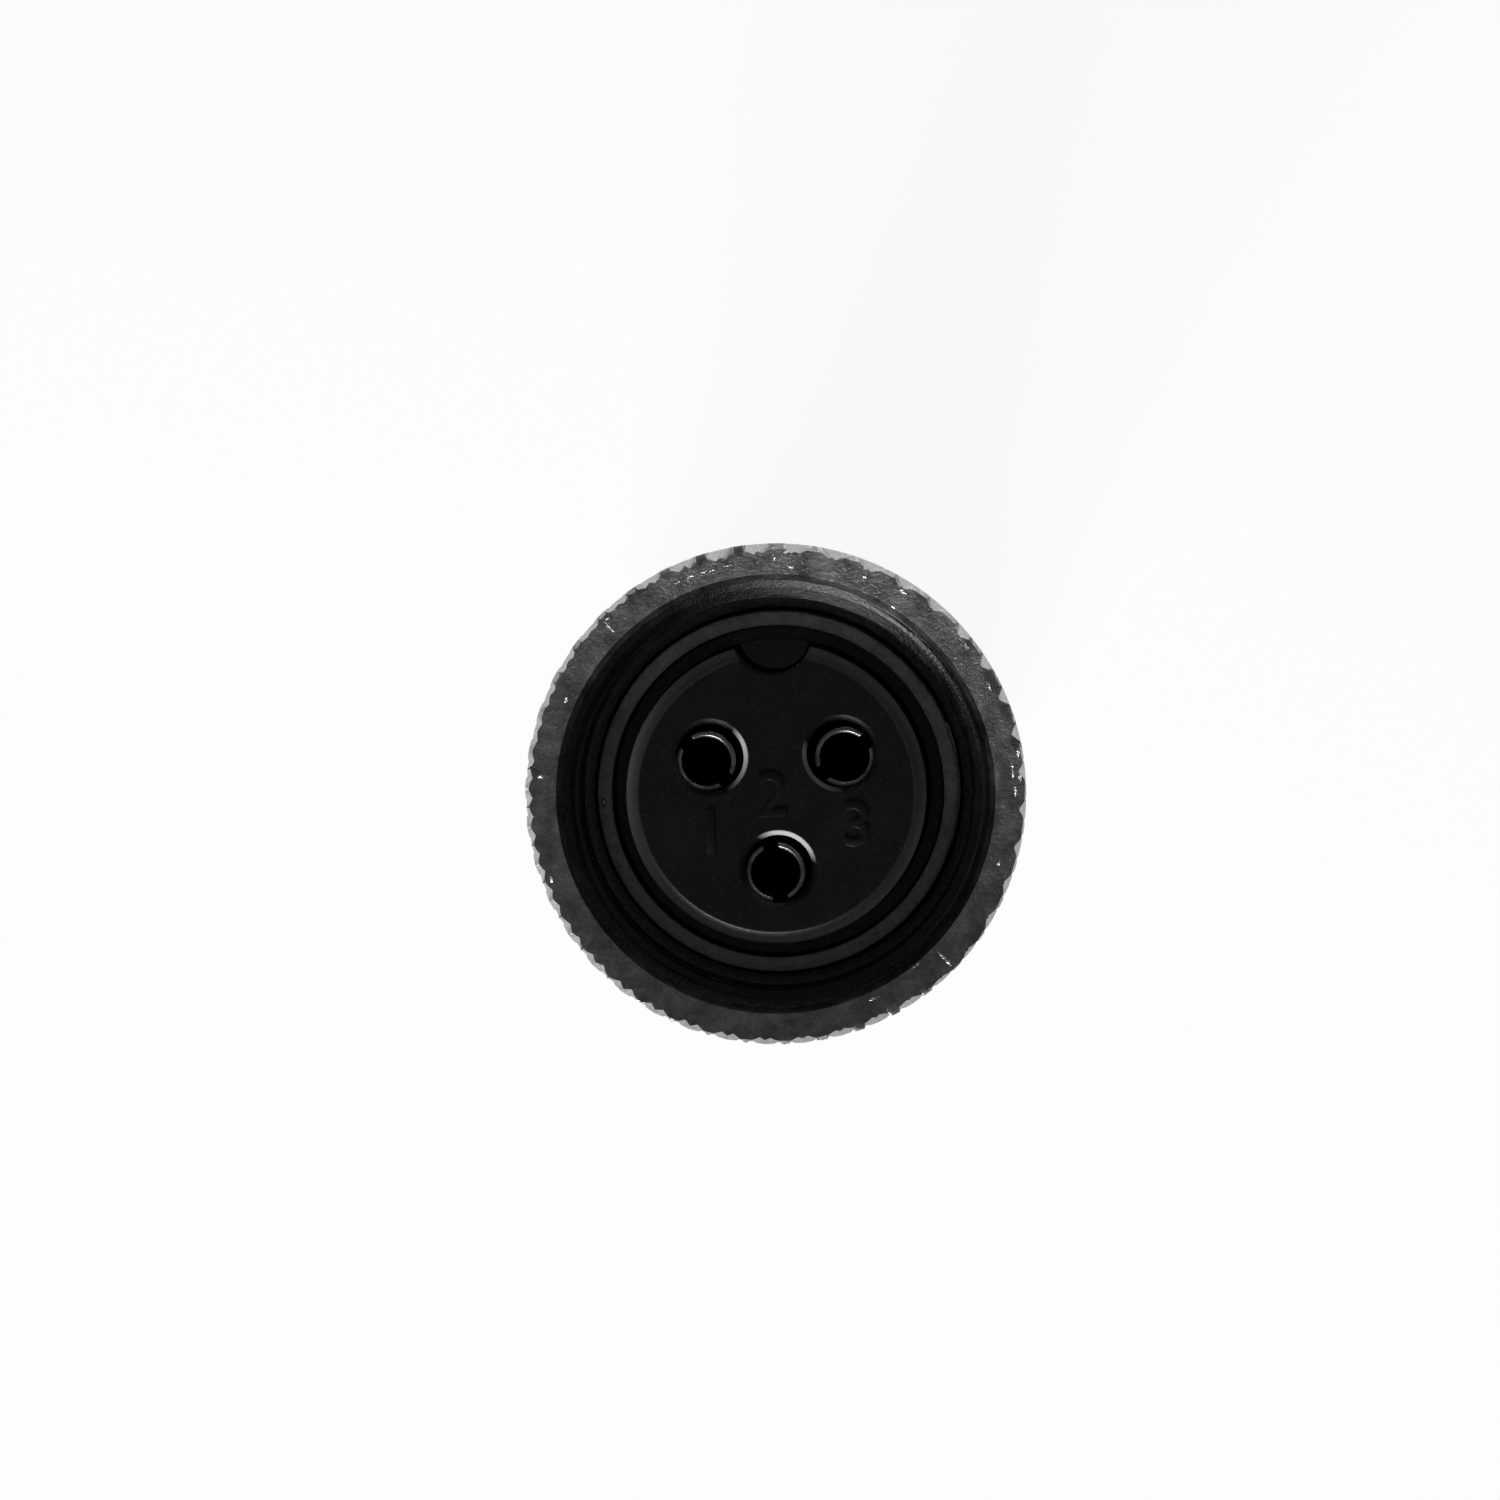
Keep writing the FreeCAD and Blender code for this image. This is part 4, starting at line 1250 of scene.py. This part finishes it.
class Recipe(Nodes):
    """Nodes of one metal or plastic, on object coordinates."""

    def __init__(self, name):
        self.material = bpy.data.materials.new(name)
        super().__init__(self.material)
        self.shader = next(node for node in self.tree.nodes if node.type == "BSDF_PRINCIPLED")
        self.place = self.add("TexCoord").outputs["Object"]
        self.x, self.y, self.height = self.add("SeparateXYZ", {0: self.place}).outputs
        self.radius = self.math("SQRT", self.times(self.x, self.x, self.times(self.y, self.y)))

    def noise(self, size, detail=3.0, roughness=0.5, place=None):
        """Noise with features of about a given size in metres."""
        return self.add("TexNoise", {
            "Vector": place or self.place, "Scale": 1 / size, "Detail": detail, "Roughness": roughness,
        }).outputs[0]

    def zone(self, value, low, high, out_low=0.0, out_high=1.0):
        """Level that changes between two places in mm."""
        return self.level(value, low * MM, high * MM, out_low, out_high)

    def blend(self, factor, first, second):
        """Mix of two colours."""
        return self.add("Mix", {0: factor, 6: first, 7: second}, data_type="RGBA").outputs[2]

    def bump(self, height, distance, normal=None):
        """Bumps of a given height in metres."""
        inputs = {"Height": height, "Distance": distance, "Strength": 1.0}
        if normal:
            inputs["Normal"] = normal
        return self.add("Bump", inputs).outputs[0]

    def shade(self, **values):
        """Sets the shader's inputs, with underscores for the spaces in their names."""
        for key, value in values.items():
            self.put(self.shader.inputs[key.replace("_", " ")], value)

    def unrolled(self, reach):
        """Place on the plug as clockwise arc length at a radius, radius and height."""
        turn = self.math("ARCTAN2", self.x, self.y)
        parts = {0: self.times(turn, reach), 1: self.radius, 2: self.height}
        return self.add("CombineXYZ", parts).outputs[0]

    def marks(self, unrolled, reach, places):
        """Mask of small ragged marks, each (clockwise degrees, radius, arc length, width) in mm."""
        mask = 0.0
        for degrees, radius, long, wide in places:
            centre = (math.radians(math.remainder(degrees, 360)) * reach, radius * MM, 0)
            away = self.vector("SUBTRACT", unrolled, centre)
            away = self.vector("MULTIPLY", away, (2 / (long * MM), 2 / (wide * MM), 0))
            size = self.vector("LENGTH", away, output="Value")
            mask = self.larger(mask, self.level(size, 0.6, 1.0, 1.0, 0.0))
        return mask


FACE_MARKS = (
    (337.0, 8.83, 0.30, 0.06), (340.5, 8.84, 0.45, 0.07), (344.0, 8.83, 0.25, 0.06),
    (346.0, 8.80, 0.30, 0.07), (350.0, 8.84, 0.35, 0.06), (5.6, 8.62, 0.30, 0.11),
    (4.4, 9.18, 0.24, 0.10), (24.0, 8.90, 0.24, 0.12), (34.0, 8.34, 0.25, 0.10),
    (34.0, 9.06, 0.34, 0.14), (54.0, 9.13, 0.30, 0.12), (65.0, 9.08, 0.34, 0.14),
    (82.0, 9.32, 0.30, 0.16), (87.5, 9.30, 0.36, 0.18), (86.0, 9.02, 0.60, 0.12),
    (91.0, 9.08, 0.42, 0.12), (109.0, 8.86, 0.26, 0.10), (251.0, 9.08, 0.26, 0.12),
    (276.0, 8.90, 0.14, 0.24), (296.0, 8.72, 0.26, 0.12), (318.0, 9.20, 0.20, 0.08),
    (90.0, 8.28, 0.40, 0.07), (101.0, 8.28, 0.25, 0.07), (110.0, 8.28, 0.50, 0.07),
)
FACE_SCRATCHES = (
    (136.0, 8.90, 0.10, 0.80), (317.0, 8.92, 0.08, 0.60), (1.5, 9.00, 0.08, 0.30),
    (156.0, 8.60, 0.50, 0.05), (143.0, 8.40, 0.60, 0.05),
)


def nut_nickel(colours):
    """Grainy satin plate with scratches, bright chips and patches of higher roughness, and painted shade on
    one side and inside the mouth and bore.
    """
    recipe = Recipe("Nut nickel")
    reach = 9.0 * MM
    chip_grey = (0.85, 0.85, 0.85, 1.0)
    grain = recipe.noise(0.15 * MM, 4.0, 0.68)
    patch = recipe.noise(0.9 * MM, 3.0, 0.6)
    fine = recipe.noise(0.05 * MM, 2.0)
    ragged = recipe.add("TexNoise", {"Vector": recipe.place, "Scale": 1 / (0.12 * MM)}).outputs["Color"]
    jitter = recipe.vector("SUBTRACT", ragged, (0.5, 0.5, 0.5))
    jitter = recipe.vector("MULTIPLY", jitter, (0.16 * MM,) * 3)
    place = recipe.vector("ADD", recipe.unrolled(reach), jitter)
    on_face = recipe.zone(recipe.height, 36.80, 36.86)
    chips = recipe.times(recipe.marks(place, reach, FACE_MARKS), on_face)
    lines = recipe.times(recipe.marks(place, reach, FACE_SCRATCHES), on_face)
    tone = recipe.times(fine, 0.25, recipe.times(grain, 0.5, recipe.times(patch, 0.25)))
    base = recipe.blend(recipe.level(tone, 0.38, 0.62), rgba(colours.nut_dark), rgba(colours.nut_light))
    # Painted shade: the plate darkens towards 160 degrees clockwise from the keyway, the side where less
    # light falls
    shaded_side = clock_point(math.radians(160.0), 1.0) + (0,)
    towards = recipe.vector("DOT_PRODUCT", recipe.place, shaded_side, "Value")
    base = recipe.blend(recipe.zone(towards, 0.0, 9.5, 0.0, colours.nut_painted_shade), base, BLACK)
    # Painted shade inside the mouth: the slope, the first turn of the thread and the bore below the face are
    # painted darker
    below = recipe.zone(recipe.height, 35.9, 36.3, 1.0, 0.0)
    slope = recipe.zone(recipe.radius, 8.12, 8.15, colours.mouth_painted_shade, 0.0)
    bore = recipe.zone(recipe.radius, 7.84, 7.90, colours.bore_painted_shade, 0.0)
    painted_mouth_and_bore_shade = recipe.larger(slope, recipe.larger(bore, recipe.times(below, 0.9)))
    first_turn = recipe.zone(recipe.height, 34.6, 35.0)
    within = recipe.zone(recipe.radius, 8.3, 8.34, 1.0, 0.0)
    base = recipe.blend(recipe.times(painted_mouth_and_bore_shade, recipe.times(first_turn, within)), base, BLACK)
    worn = recipe.larger(chips, recipe.times(lines, 0.5))
    base = recipe.blend(worn, base, chip_grey)
    rough = recipe.level(patch, 0.3, 0.7, colours.nut_roughness - 0.05, colours.nut_roughness + 0.07)
    bumps = recipe.bump(recipe.times(fine, 0.3, grain), 0.024 * MM)
    dents = recipe.times(worn, recipe.level(ragged, 0.3, 0.7, 0.2))
    bumps = recipe.bump(dents, 0.10 * MM, bumps)
    recipe.shade(Base_Color=base, Roughness=recipe.times(worn, 0.1, rough), Metallic=1.0, Normal=bumps)


BARREL_MARKS = (
    (268.0, 6.72, 0.35, 0.16), (252.0, 6.62, 0.30, 0.12), (247.0, 6.78, 0.25, 0.10),
    (150.0, 6.66, 0.90, 0.08), (118.0, 6.90, 0.20, 0.14), (284.0, 6.52, 0.30, 0.08),
)


def barrel_nickel(colours):
    """Dull plate with a coarse cast grain, a few nicks on the rim and painted shade inside the bore below
    the rim.
    """
    recipe = Recipe("Barrel nickel")
    reach = 6.65 * MM
    nick_grey = (0.95, 0.95, 0.95, 1.0)
    grain = recipe.noise(0.2 * MM, 4.0, 0.65)
    patch = recipe.noise(1.2 * MM, 3.0, 0.6)
    on_rim = recipe.zone(recipe.height, 31.3, 31.35)
    nicks = recipe.times(recipe.marks(recipe.unrolled(reach), reach, BARREL_MARKS), on_rim)
    tone = recipe.level(recipe.times(grain, 0.5, recipe.times(patch, 0.5)), 0.36, 0.64)
    base = recipe.blend(tone, rgba(colours.barrel_dark), rgba(colours.barrel_light))
    base = recipe.blend(nicks, base, nick_grey)
    # Painted shade: inside the nose bore, below the rim, the plate is painted half way to black
    painted_recess_shade = recipe.zone(recipe.height, 31.15, 31.3, 0.5, 0.0)
    painted_recess_shade = recipe.times(painted_recess_shade, recipe.zone(recipe.radius, 6.5, 6.55, 1.0, 0.0))
    base = recipe.blend(painted_recess_shade, base, BLACK)
    rough = recipe.level(patch, 0.3, 0.7, 0.38, 0.5)
    bumps = recipe.bump(nicks, 0.08 * MM, recipe.bump(grain, 0.022 * MM))
    recipe.shade(Base_Color=base, Roughness=rough, Metallic=1.0, Normal=bumps)


def turned_metal(name, light, dark, roughness, ring_size, ring_depth):
    """Turned and plated metal: fine rings round the axis, soft patches and a light grain."""
    recipe = Recipe(name)
    along = recipe.vector("MULTIPLY", recipe.unrolled(8 * MM), (0.02, 1.0, 1.0))
    rings = recipe.noise(ring_size, 2.0, 0.6, along)
    patch = recipe.noise(1.6 * MM, 4.0, 0.6)
    grain = recipe.noise(0.12 * MM, 3.0, 0.6)
    tone = recipe.times(rings, 0.4, recipe.times(patch, 0.6))
    base = recipe.blend(recipe.level(tone, 0.36, 0.64), dark, light)
    rough = recipe.level(patch, 0.3, 0.7, *roughness)
    bumps = recipe.bump(grain, 0.003 * MM, recipe.bump(rings, ring_depth))
    recipe.shade(Base_Color=base, Roughness=rough, Metallic=1.0, Normal=bumps)


def contact_silver(colours):
    """Turned silver plate, tarnished in patches, and painted almost black as shade where it sits in the
    insert.
    """
    recipe = Recipe("Contact silver")
    patch = recipe.noise(0.5 * MM, 4.0, 0.6)
    grain = recipe.noise(0.06 * MM, 3.0, 0.6)
    tone = recipe.level(recipe.times(patch, 0.7, recipe.times(grain, 0.3)), 0.38, 0.6)
    base = recipe.blend(tone, rgba(colours.contact_dark), rgba(colours.contact_light))
    # Painted shade: where the contacts sit in the insert, below their tips, they are painted almost black
    painted_recess_shade = recipe.zone(recipe.height, 33.9, 34.3, 0.97, 0.0)
    base = recipe.blend(recipe.times(painted_recess_shade, recipe.zone(recipe.height, 24.0, 24.5)), base, BLACK)
    rough = recipe.level(patch, 0.3, 0.7, 0.34, 0.2)
    recipe.shade(Base_Color=base, Roughness=rough, Metallic=1.0, Normal=recipe.bump(grain, 0.003 * MM))


# For each cavity, the clockwise direction of its painted highlight on the mouth, and how strongly it is
# painted
PAINTED_MOUTH_HIGHLIGHTS = ((97.0, 0.9), (25.0, 1.0), (235.0, 0.5))


def painted_mouth_highlights(recipe, sizes):
    """Mask of painted highlights on one side of each cavity's mouth."""
    mask = 0.0
    for (x, y), (direction, strength) in zip(cavity_centres(sizes), PAINTED_MOUTH_HIGHLIGHTS):
        away = recipe.vector("MULTIPLY", recipe.vector("SUBTRACT", recipe.place, (x, y, 0)), (1, 1, 0))
        size = recipe.vector("LENGTH", away, output="Value")
        towards = clock_point(math.radians(direction), 1.0) + (0,)
        side = recipe.zone(recipe.vector("DOT_PRODUCT", away, towards, "Value"), 0.75, 1.2)
        mask = recipe.larger(mask, recipe.times(recipe.zone(size, 1.43, 1.48, strength, 0.0), side))
    return recipe.times(mask, recipe.zone(recipe.height, 35.22, 35.3))


def black_moulding(colours, sizes):
    """Black moulding, half gloss, with a fine grain and grey dust, a scuffed bevel painted lighter towards
    the keyway, and painted highlights in the cavities' mouths.
    """
    recipe = Recipe("Black moulding")
    grain = recipe.noise(0.1 * MM, 4.0, 0.65)
    patch = recipe.noise(1.5 * MM, 3.0, 0.5)
    speck = recipe.level(recipe.noise(0.07 * MM, 2.0, 0.5), 0.62, 0.76)
    base = recipe.blend(speck, rgba(colours.black), rgba(colours.black, 7.0))
    # The bevel's grey is partly a scuff and partly painted light
    edge = recipe.times(recipe.zone(recipe.radius, 5.2, 5.66), recipe.zone(recipe.height, 34.95, 35.05))
    # Painted light: the bevel's grey grows from 0.4 to 1.4 times towards the keyway side, where more light
    # falls
    edge = recipe.times(edge, recipe.zone(recipe.y, -3.5, 3.5, 0.4, 1.4))
    scuffed_and_lit = recipe.times(edge, recipe.level(grain, 0.3, 0.7, 0.6))
    base = recipe.blend(scuffed_and_lit, base, rgba(colours.scuffed_and_lit))
    # Painted highlights on one side of each cavity's mouth
    base = recipe.blend(painted_mouth_highlights(recipe, sizes), base, rgba(colours.highlighted))
    rough = recipe.level(recipe.math("ADD", grain, patch), 0.7, 1.3, 0.27, 0.38)
    rough = recipe.times(rough, recipe.zone(recipe.height, 35.46, 35.49, 0.45))
    rough = recipe.times(edge, 0.4, rough)
    recipe.shade(Base_Color=base, Roughness=rough, IOR=1.42, Normal=recipe.bump(grain, 0.011 * MM))


def sleeve_plastic(colours):
    """Milky plastic tube with faint draw lines along it."""
    recipe = Recipe("Sleeve plastic")
    drawn = recipe.vector("MULTIPLY", recipe.unrolled(6 * MM), (1.0, 1.0, 0.03))
    lines = recipe.noise(0.2 * MM, 3.0, 0.6, drawn)
    cloud = recipe.level(recipe.noise(2.0 * MM, 3.0, 0.5), 0.35, 0.65)
    base = recipe.blend(cloud, rgba(colours.sleeve, 0.86), rgba(colours.sleeve))
    rough = recipe.level(lines, 0.3, 0.7, 0.42, 0.55)
    recipe.shade(Base_Color=base, Roughness=rough, Normal=recipe.bump(lines, 0.006 * MM))


KEPT_NODES = {
    "nut_retaining_ring": "Spring steel",
    "insert_retaining_ring": "Spring steel",
    "rear_insulator": "Black moulding",
    "insulating_sleeve": "Sleeve plastic",
}


class PLUG_OT_finishes(bpy.types.Operator):
    """Makes the finishes and gives the kept pieces theirs"""
    bl_idname = "plug.finishes"
    bl_label = "Finishes"

    def execute(self, context):
        colours = context.scene.plug_finishes
        nut_nickel(colours)
        barrel_nickel(colours)
        contact_silver(colours)
        black_moulding(colours, context.scene.plug_insert)
        sleeve_plastic(colours)
        for name, light, dark, roughness, ring_size, ring_depth in (
            ("Housing nickel", rgba(colours.shell_light), rgba(colours.shell_dark), (0.2, 0.3), 0.08, 0.004),
            ("Screw steel", rgba(colours.screw_light), rgba(colours.screw_dark), (0.18, 0.28), 0.1, 0.003),
            ("Spring steel", rgba(colours.spring), rgba(colours.spring, 0.7), (0.3, 0.42), 0.1, 0.004),
        ):
            turned_metal(name, light, dark, roughness, ring_size * MM, ring_depth * MM)
        for node, material in KEPT_NODES.items():
            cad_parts[node].material_slots[0].material = bpy.data.materials[material]
        return {"FINISHED"}


def floor_material(settings):
    """White floor that keeps a soft shadow and shows as plain white in the picture."""
    material = bpy.data.materials.new("Floor white")
    nodes = Nodes(material)
    nodes.tree.nodes.clear()
    ray = nodes.add("LightPath").outputs
    seen = nodes.larger(ray["Is Camera Ray"], ray["Is Glossy Ray"])
    seen = nodes.larger(seen, ray["Is Transmission Ray"])
    paper = nodes.add("BsdfDiffuse", {"Color": (0.9, 0.9, 0.9, 1.0)})
    white = nodes.add("Emission", {"Color": WHITE})
    share_of_white = nodes.times(seen, settings.floor_white)
    mix = nodes.add("MixShader", {0: share_of_white, 1: paper.outputs[0], 2: white.outputs[0]})
    nodes.add("OutputMaterial", {"Surface": mix.outputs[0]})
    return material


def studio_world(settings):
    """Surroundings seen as white, which light the plug dimly, a little more from slanting directions."""
    world = bpy.data.worlds.new("Studio")
    bpy.context.scene.world = world
    nodes = Nodes(world)
    nodes.tree.nodes.clear()
    direction = nodes.add("TexCoord").outputs["Generated"]
    upward = nodes.add("SeparateXYZ", {0: direction}).outputs[2]
    level, slant = settings.surround, settings.slant
    rise = nodes.level(upward, 0.25, 0.4, level, slant, interpolation_type="SMOOTHSTEP")
    fall = nodes.level(upward, 0.6, 0.78, slant, level, interpolation_type="SMOOTHSTEP")
    seen = nodes.add("LightPath").outputs["Is Camera Ray"]
    strength = nodes.larger(seen, nodes.math("MINIMUM", rise, fall))
    background = nodes.add("Background", {"Color": WHITE, "Strength": strength})
    nodes.add("OutputWorld", {"Surface": background.outputs[0]})


# Name, clockwise angle, lean from the vertical, distance, width, height and power
LIGHTS = (
    ("Window light", 200.0, 67.0, 0.5, 0.26, 0.20, 3.7),
    ("White card", 10.0, 90.0, 0.45, 0.60, 0.05, 0.40),
)


SENSOR_WIDTH = 36.0


def add_light(name, turn, lean, distance, wide, high, power, target):
    """Rectangular light at a clockwise angle from the keyway and a lean from the vertical."""
    x, y = clock_point(math.radians(turn), distance * math.sin(math.radians(lean)))
    place = Vector((x, y, distance * math.cos(math.radians(lean))))
    deselect_all()
    bpy.ops.object.light_add(type="AREA", location=target + place)
    light = bpy.context.object
    light.name = name
    light.rotation_euler = (-place).to_track_quat("-Z", "Y").to_euler()
    light.data.shape = "RECTANGLE"
    light.data.size = wide
    light.data.size_y = high
    light.data.energy = power


class PLUG_OT_stage(bpy.types.Operator):
    """Sets up the floor, the studio light and the camera"""
    bl_idname = "plug.stage"
    bl_label = "Stage"

    def execute(self, context):
        settings = context.scene.plug_stage
        front = context.scene.plug_nut.front
        context.scene.view_settings.view_transform = "Standard"
        deselect_all()
        bpy.ops.mesh.primitive_circle_add(
            vertices=FLOOR_STEPS, radius=settings.floor_radius, fill_type="NGON", calc_uvs=False
        )
        floor = context.object
        floor.name = "floor"
        floor.data.materials.append(floor_material(settings))
        studio_world(settings)
        target = Vector((0, 0, front))
        for light in LIGHTS:
            add_light(*light, target)
        across = (settings.frame_pixels / 2 - settings.centre_x) / settings.pixels_per_mm * MM
        up = (settings.centre_y - settings.frame_pixels / 2) / settings.pixels_per_mm * MM
        turn = Matrix.Rotation(settings.roll, 3, "Z")
        aim = target + turn @ Vector((across, up, 0))
        deselect_all()
        bpy.ops.object.camera_add()
        camera = context.object
        camera.name = "Camera"
        camera.rotation_euler = Euler((-settings.tilt, settings.side_tilt, settings.roll))
        backwards = camera.rotation_euler.to_matrix() @ Vector((0, 0, settings.distance))
        camera.location = aim + backwards
        camera.data.sensor_width = SENSOR_WIDTH
        frame_width = settings.frame_pixels / settings.pixels_per_mm * MM
        camera.data.lens = SENSOR_WIDTH * settings.distance / frame_width
        camera.data.clip_start = 0.01
        camera.data.clip_end = 20.0
        context.scene.camera = camera
        return {"FINISHED"}


PIECE_OPERATORS = (
    PLUG_OT_finishes,
    PLUG_OT_coupling_nut,
    PLUG_OT_barrel,
    PLUG_OT_contact_insert,
    PLUG_OT_socket_contacts,
    PLUG_OT_backshell,
    PLUG_OT_cable_clamp,
    PLUG_OT_locking_screw,
    PLUG_OT_stage,
)
SETTINGS = {
    "plug_nut": NutSizes,
    "plug_barrel": BarrelSizes,
    "plug_insert": InsertSizes,
    "plug_contacts": ContactSizes,
    "plug_shell": ShellSizes,
    "plug_screws": ScrewSizes,
    "plug_finishes": FinishColours,
    "plug_stage": StageSettings,
}


class PLUG_PT_looks(bpy.types.Panel):
    """Lists the plug's pieces and their sizes"""
    bl_idname = "PLUG_PT_looks"
    bl_label = "Cable plug"
    bl_space_type = "VIEW_3D"
    bl_region_type = "UI"
    bl_category = "Cable plug"

    def draw(self, context):
        for operator in PIECE_OPERATORS:
            self.layout.operator(operator.bl_idname)
        for group in SETTINGS:
            values = getattr(context.scene, group)
            box = self.layout.box()
            for key in values.bl_rna.properties.keys():
                if key not in ("rna_type", "name"):
                    box.prop(values, key)


def register():
    """Registers the classes and the scene's settings."""
    for group, kind in SETTINGS.items():
        bpy.utils.register_class(kind)
        setattr(bpy.types.Scene, group, bpy.props.PointerProperty(type=kind))
    for operator in PIECE_OPERATORS:
        bpy.utils.register_class(operator)
    bpy.utils.register_class(PLUG_PT_looks)


def unregister():
    """Removes the classes and the scene's settings."""
    bpy.utils.unregister_class(PLUG_PT_looks)
    for operator in reversed(PIECE_OPERATORS):
        bpy.utils.unregister_class(operator)
    for group, kind in SETTINGS.items():
        delattr(bpy.types.Scene, group)
        bpy.utils.unregister_class(kind)


def main():
    """Runs every operator in order."""
    register()
    bpy.ops.plug.finishes()
    bpy.ops.plug.coupling_nut()
    bpy.ops.plug.barrel()
    bpy.ops.plug.contact_insert()
    bpy.ops.plug.socket_contacts()
    bpy.ops.plug.backshell()
    bpy.ops.plug.cable_clamp()
    bpy.ops.plug.locking_screw()
    bpy.ops.plug.stage()


if __name__ == "__main__":
    main()
